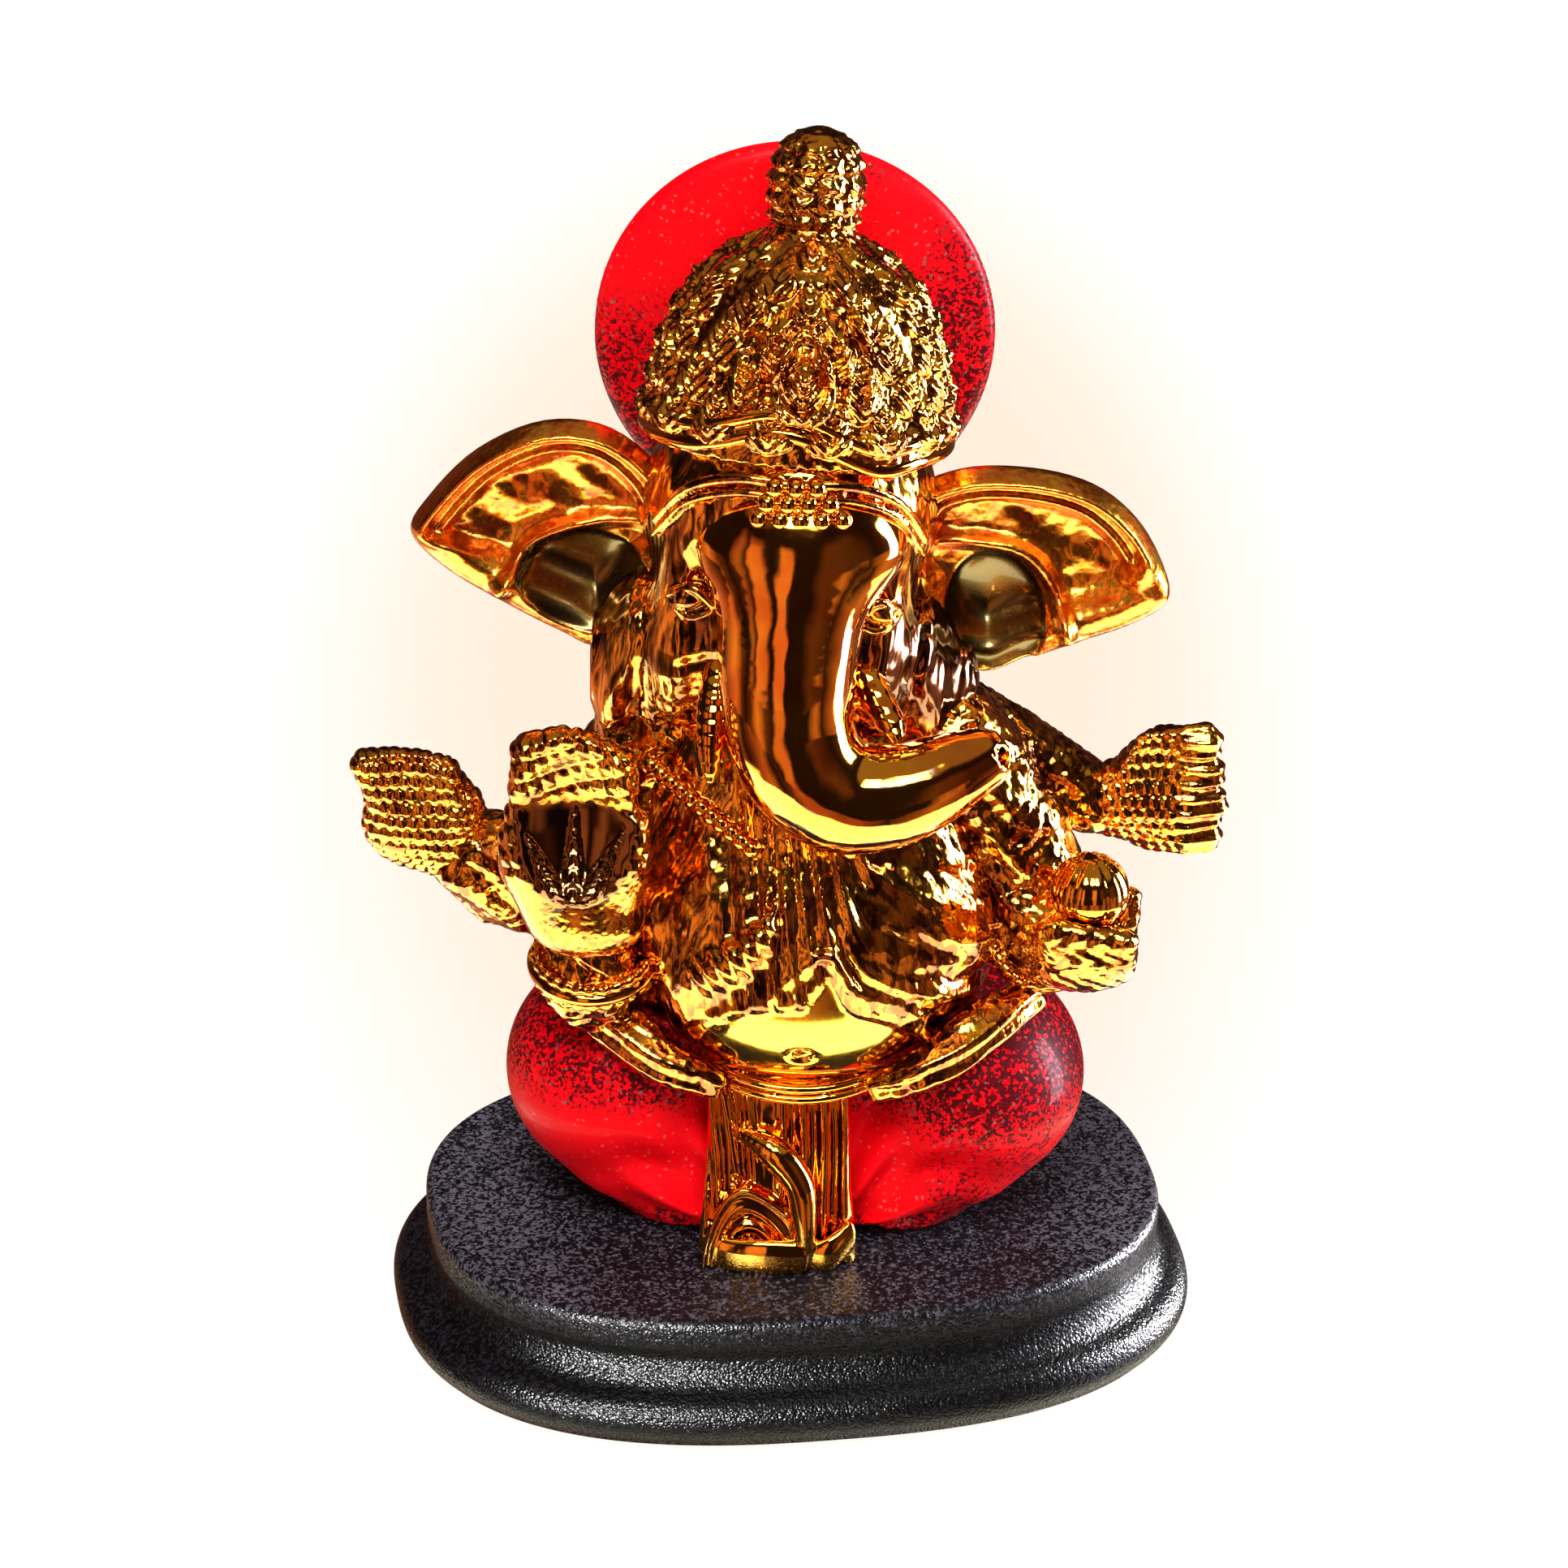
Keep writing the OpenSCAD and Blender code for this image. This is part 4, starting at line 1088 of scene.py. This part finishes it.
def blessingField(p):
    d = join(blob(p, *blessingForm["palm"]), blob(p, *blessingForm["heel"]), 4)
    for i in range(4):
        tip = 62.4 + 1.8 * math.sin(math.radians(40 + 50 * i))
        d = join(d, digit(p, (-30.0 + 3.0 * i, -15.2, 56), (-30.2 + 3.15 * i, -15.8, tip), 2.5), 1.8)
    d = join(d, digit(p, (-20.0, -15.6, 47), (-19.0, -16.8, 54.4), 2.4), 1.8)
    # the palm is a bowl lined with a spray of leaves, above a smooth heel
    bowl = blob(p, *blessingForm["bowl"])
    d = cut(d, bowl, 1.2)
    x, z = p[:, 0] + 25.4, p[:, 2] - 43.5
    leaves = np.zeros(len(p))
    for lean in blessingForm["leaning"]:
        c, s = arc(1, lean)
        leaf = leafRelief(x * c - z * s, z * c + x * s - 3.0, 1.6, 11 - 0.05 * abs(lean))
        leaves = np.maximum(leaves, leaf)
    inside = ease(bowl, 1.2, 0.2)
    seeds = np.abs(np.sin(p[:, 0] * 1.9 + 0.6 * p[:, 2])) * np.abs(np.sin(p[:, 2] * 1.25 - 0.4 * p[:, 0]))
    upper = ease(p[:, 2], 46, 50)
    tips = ease(p[:, 2], 57, 60)
    return d - inside * (1 - tips) * 0.5 * leaves - (upper * (1 - inside) + tips * inside) * 0.35 * seeds


def palmShade(p):
    # painted shade in the hollow of the palm, above the smooth heel
    hollow = ease(blob(p, *blessingForm["bowl"]), 2.2, 0.6)
    return hollow * ease(p[:, 2], 44.0, 46.5) * ease(p[:, 2], 58.5, 56.5)


# the marked hollow takes a dark brown painted shade
goldPalm = goldFinish("goldPalm", 0.0008, 0.00012, valleyShade=0.6, marked=(0.20, 0.085, 0.02))
sculpt("blessingHand", blessingField, (-37, -23, 35), (-14, -8, 69), 0.3, goldPalm, ["front_right_hand"],
       mark=palmShade)


def riceGrain(p, size):
    # rows of small upright seeds, each row shifted from the last
    row = p[:, 2] / (size * 1.25)
    across = p[:, 0] / size + 0.5 * (np.floor(row) % 2) + 0.25 * np.sin(p[:, 1])
    seed = np.hypot((across % 1 - 0.5) * 2, (row % 1 - 0.5) * 1.9)
    return np.sqrt(np.clip(1 - seed ** 2, 0, 1))


def rearRightField(p):
    d = join(blob(p, (-44.4, 2.8, 45.4), (6.4, 3.6, 6)), blob(p, (-39, 3.4, 42), (4.8, 3.9, 4.8)), 3)
    for i in range(4):
        tip = 52.0 + 1.1 * math.sin(math.radians(50 + 40 * i))
        d = join(d, digit(p, (-46.8 + 2.3 * i, 2.4, 47.6 + 0.4 * i), (-50.2 + 3.0 * i, 1.8, tip), 2.1), 2.0)
    d = join(d, digit(p, (-40, 1.6, 45), (-38.2, 1.0, 48.6), 1.9), 1.4)
    d = cut(d, blob(p, (-45.2, -5.6, 52.0), (7.0, 6.0, 8.0)), 1.6)
    return d + 0.1 - 0.30 * riceGrain(p, 1.3)


def rearLeftField(p):
    d = join(blob(p, (40.6, 2.2, 51.4), (4.9, 3.4, 7.2)), blob(p, (35.4, 2.6, 50), (3.9, 3.6, 4.1)), 3)
    for i in range(4):
        tip = (47.2 - 0.5 * abs(i - 1), 1.6, 46.2 + 4.0 * i)
        d = join(d, digit(p, (42, 2, 46.9 + 3.4 * i), tip, 2.4), 1.8)
    d = join(d, digit(p, (38.4, 0.8, 54), (39.6, -0.4, 58.2), 1.9), 1.6)
    d = cut(d, blob(p, (41.5, -5.6, 56.5), (7.0, 6.0, 8.0)), 1.6)
    lines = hump((p[:, 2] / 1.75) % 1, 0.5, 0.2) * ease(p[:, 0], 42.5, 44)
    return d + 0.1 - 0.28 * riceGrain(p, 1.3) * ease(p[:, 0], 44, 42.5) - 0.3 * lines


sweetForm = {"at": (32.8, -13.6, 46.2), "size": (4.35, 4.35, 4.4), "seat": (4.6, 4.6, 4.6)}


def frontLeftField(p):
    d = join(blob(p, (32.8, -13.6, 38.8), (5.9, 5.1, 4.6)), blob(p, (31, -11.2, 38), (4.6, 4.6, 4.4)), 3)
    for i in range(4):
        tip = (28.6 + 2.7 * i, -17.9, 43.3 - 0.4 * i)
        d = join(d, digit(p, (29.4 + 2.2 * i, -15.5, 37.6), tip, 2.05), 1.4)
    d = join(d, digit(p, (36.6, -12, 40), (37.4, -12.4, 44.8), 1.8), 1.0)
    return cut(d + 0.1, blob(p, sweetForm["at"], sweetForm["seat"]), 0.4) - 0.16 * grain(p, 0.9, 7.0)


def sweetField(p):
    q = p - np.array(sweetForm["at"])
    a = np.arctan2(q[:, 0], -q[:, 1])
    flutes = 0.22 * np.abs(np.sin(a * 6)) * ease(q[:, 2], -3.5, 0)
    return blob(p, sweetForm["at"], sweetForm["size"]) - flutes


sculpt("rearRightHand", rearRightField, (-56, -3, 34), (-32, 9, 57), 0.3, goldGrain, ["rear_right_hand"])
sculpt("rearLeftHand", rearLeftField, (29, -5, 40), (53, 8, 63), 0.3, goldGrain, ["rear_left_hand"])
sculpt("frontLeftHand", frontLeftField, (24, -22, 31), (42, -5, 49), 0.3, goldGrain, ["front_left_hand"])
sculpt("heldSweet", sweetField, (27, -19, 40), (38, -8, 52), 0.3, goldPolish, ["sweet"])


def ringField(at, radius, angles):
    def field(p):
        q = turned(p, at, angles)
        r = np.hypot(q[:, 0], q[:, 1]) - radius
        a = np.arctan2(q[:, 0], q[:, 1])
        rope = 0.12 * np.sin(a * 26 + q[:, 2] * 2)
        edges = np.hypot(r + 0.25, np.abs(q[:, 2]) - 1.25) - 0.55 - rope
        three = np.minimum(np.hypot(r, q[:, 2]) - 0.8, edges)
        inner = np.maximum(np.abs(r + 0.9) - 1.0, np.abs(q[:, 2]) - 1.3)
        return join(three, inner, 0.3)
    return field


sculpt("blessingBracelet", ringField((-23.5, -13.2, 35.8), 6.6, (14, 0, 0)), (-32, -22, 31), (-15, -4, 41),
       0.25, goldPolish, ["front_right_bracelet"])
sculpt("sweetBracelet", ringField((28.4, -7.4, 37.8), 6.4, (70, 0, 34)), (19, -16, 29), (38, 2, 47),
       0.25, goldPolish, ["front_left_bracelet"])


def necklaceField(p):
    d = np.full(len(p), 9.0)
    for side in (-1, 1):
        for i in range(11):
            t = i / 10
            at = (side * (17 - 11.5 * t), -8.8 - 6.4 * t, 58.6 - 7.0 * t)
            d = np.minimum(d, blob(p, at, (1.15, 1.15, 1.15)))
    return d


sculpt("necklaceBeads", necklaceField, (-20, -18, 49), (20, -6, 62), 0.26, goldPolish, ["necklace"])
print("figure done")


def makeFloor():
    mesh = bpy.data.meshes.new("floorSheet")
    mesh.from_pydata([(-6, -6, 0), (6, -6, 0), (6, 6, 0), (-6, 6, 0)], [], [(0, 1, 2, 3)])
    floor = bpy.data.objects.new("floorSheet", mesh)
    bpy.context.scene.collection.objects.link(floor)
    f = Finish("palePaper")
    at = f.node("ShaderNodeMapping", {"vector_type": "TEXTURE"},
                {"Vector": f.place(), "Location": (0.035, 0.20, 0),
                 "Rotation": (0, 0, math.radians(figure["turn"])), "Scale": (0.092, 0.27, 1)})
    spot = f.node("ShaderNodeVectorMath", {"operation": "LENGTH"}, {0: at}, "Value")
    fibre = f.noise(0.002, 3.0)
    # the floor gives off its own light, pale white far off with a painted warm pool of light round the figure
    glow = f.clamp(spot, 0.45, 1.05)
    colour = f.mixColour(glow, (1.0, 0.76, 0.60), (1.0, 0.985, 0.97))
    paper = f.mixColour(fibre, (0.05, 0.05, 0.05), (0.07, 0.07, 0.07))
    floor.data.materials.append(f.surface(Base_Color=paper, Roughness=0.9, Specular_IOR_Level=0.0,
                                          Emission_Color=colour, Emission_Strength=1.0,
                                          Normal=f.bump(fibre, 0.00005)))
    floor.visible_glossy = False


def areaLight(name, place, aim, size, power, colour, glossy=False):
    lamp = bpy.data.lights.new(name, "AREA")
    lamp.shape = "RECTANGLE"
    lamp.size, lamp.size_y = size
    lamp.energy = power
    lamp.color = colour
    light = bpy.data.objects.new(name, lamp)
    light.location = place
    light.rotation_mode = "QUATERNION"
    light.rotation_quaternion = (Vector(aim) - Vector(place)).to_track_quat("-Z", "Y")
    light.visible_glossy = glossy
    bpy.context.scene.collection.objects.link(light)
    return light


def makeRoom():
    world = bpy.data.worlds.new("studioRoom")
    bpy.context.scene.world = world
    world.use_nodes = True
    f = Finish("", world.node_tree)
    ray = f.node("ShaderNodeTexCoord", None, None, "Generated")
    x, y, z = (f.node("ShaderNodeSeparateXYZ", None, {"Vector": ray}, n) for n in "XYZ")
    around = f.node("ShaderNodeMath", {"operation": "ARCTAN2"}, {0: x, 1: y * -1}) / (2 * math.pi)
    around = around + 0.5 - figure["turn"] / 360
    dark, brown, amber = (0.020, 0.011, 0.012), (0.13, 0.05, 0.03), (0.95, 0.38, 0.17)
    rust = (0.8, 0.3, 0.13)

    def ramp(stops):
        return f.node("ShaderNodeValToRGB", {"stops": stops}, {"Fac": around}, "Color")

    # what the gold mirrors all round: above the level, below it, and well below it
    high = ramp([(0.00, dark), (0.12, brown), (0.20, dark), (0.31, dark), (0.33, (0.5, 0.2, 0.1)),
                 (0.352, dark), (0.362, amber), (0.40, (0.8, 0.3, 0.14)), (0.415, dark), (0.430, dark),
                 (0.442, amber), (0.482, amber), (0.49, dark), (0.56, dark), (0.60, brown), (0.70, dark),
                 (0.86, brown), (0.95, dark)])
    low = ramp([(0.00, dark), (0.10, brown), (0.16, dark), (0.24, amber), (0.27, brown), (0.30, dark),
                (0.34, brown), (0.37, amber), (0.40, brown), (0.43, dark), (0.445, rust), (0.475, rust),
                (0.49, dark), (0.60, dark), (0.64, (0.6, 0.24, 0.12)), (0.67, dark), (0.80, amber),
                (0.83, dark), (0.94, brown)])
    near = ramp([(0.00, brown), (0.14, amber), (0.26, dark), (0.30, brown), (0.36, (0.6, 0.23, 0.1)),
                 (0.40, dark), (0.45, brown), (0.48, (0.6, 0.22, 0.1)), (0.52, (0.4, 0.15, 0.07)),
                 (0.56, dark), (0.63, (0.5, 0.2, 0.1)), (0.70, dark), (0.76, (0.7, 0.3, 0.15)),
                 (0.88, brown)])
    room = f.mixColour(f.clamp(z, -0.10, -0.04), low, high)
    room = f.mixColour(f.clamp(z, -0.30, -0.34), room, near)
    room = f.mixColour(f.clamp(z, 0.36, 0.56), room, dark)
    room = f.mixColour(f.clamp(z, 0.66, 0.80), room, (0.30, 0.20, 0.10))
    strip = f.clamp(around, 0.748, 0.753) * f.clamp(around, 0.800, 0.795) * f.clamp(z, -0.36, -0.32)
    room = f.mixColour(strip * f.clamp(z, 0.46, 0.40), room, (42, 42, 50))
    window = f.clamp(z, 0.70, 0.72) * f.clamp(z, 0.90, 0.88)
    window = window * f.clamp(around, 0.42, 0.44) * f.clamp(around, 0.58, 0.56)
    room = f.mixColour(window, room, (14, 14, 15))
    sheet = f.clamp(z, -0.56, -0.58) * f.clamp(around, 0.10, 0.14) * f.clamp(around, 0.94, 0.90)
    room = f.mixColour(sheet, room, (4.2, 4.1, 3.2))
    shader = f.node("ShaderNodeBackground", None, {"Color": room, "Strength": 1.0})
    end = f.tree.nodes.new("ShaderNodeOutputWorld")
    f.tree.links.new(shader.socket, end.inputs["Surface"])


def shineOn(piece, lamp):
    # this lamp only lights the one piece, for the gloss along its moulding
    group = bpy.data.collections.new(lamp.name + "Target")
    group.objects.link(piece)
    lamp.light_linking.receiver_collection = group
    lamp.visible_diffuse = False


makeFloor()
makeRoom()
areaLight("keySoftbox", (-0.25, -0.45, 0.95), (0, 0, 0.06), (0.5, 0.5), 8, (1.0, 0.97, 0.94))
areaLight("fillSoftbox", (0.15, -0.95, 0.5), (0, 0, 0.09), (0.4, 0.5), 3.0, (1.0, 0.98, 0.97))
areaLight("backSoftbox", (0.1, 0.8, 0.7), (0, 0, 0.08), (0.6, 0.4), 5, (1.0, 0.97, 0.93))

for name, place, size, power in (("mouldingStrip", (-170, -480, 60), (0.16, 0.016), 45),
                                 ("edgeStrip", (420, 130, 60), (0.05, 0.10), 60)):
    shineOn(plinthBody, areaLight(name, seat([place])[0], (0, 0, 0), size, power, (1, 1, 1), True))

cameraView = {"elevation": 26.0, "roll": 1.2, "distance": 0.600, "target": (-2.0, 0.0, 52.3), "lens": 119.85}


def makeCamera():
    s = cameraView
    up = math.radians(s["elevation"])
    facing = spin(figure["turn"], "Z")
    right = facing @ Vector((1, 0, 0))
    ahead = facing @ Vector((0, math.cos(up), -math.sin(up)))
    over = facing @ Vector((0, math.sin(up), math.cos(up)))
    roll = math.radians(s["roll"])
    sideways = right * math.cos(roll) + over * math.sin(roll)
    upwards = -right * math.sin(roll) + over * math.cos(roll)
    data = bpy.data.cameras.new("studioCamera")
    data.sensor_width = 36
    data.lens = s["lens"]
    data.clip_start, data.clip_end = 0.01, 20
    camera = bpy.data.objects.new("studioCamera", data)
    spot = Vector(seat([s["target"]])[0]) - ahead * s["distance"]
    camera.matrix_world = Matrix.Translation(spot) @ Matrix((sideways, upwards, -ahead)).transposed().to_4x4()
    bpy.context.scene.collection.objects.link(camera)
    bpy.context.scene.camera = camera


makeCamera()
bpy.context.scene.view_settings.view_transform = "Standard"
bpy.context.scene.view_settings.look = "None"
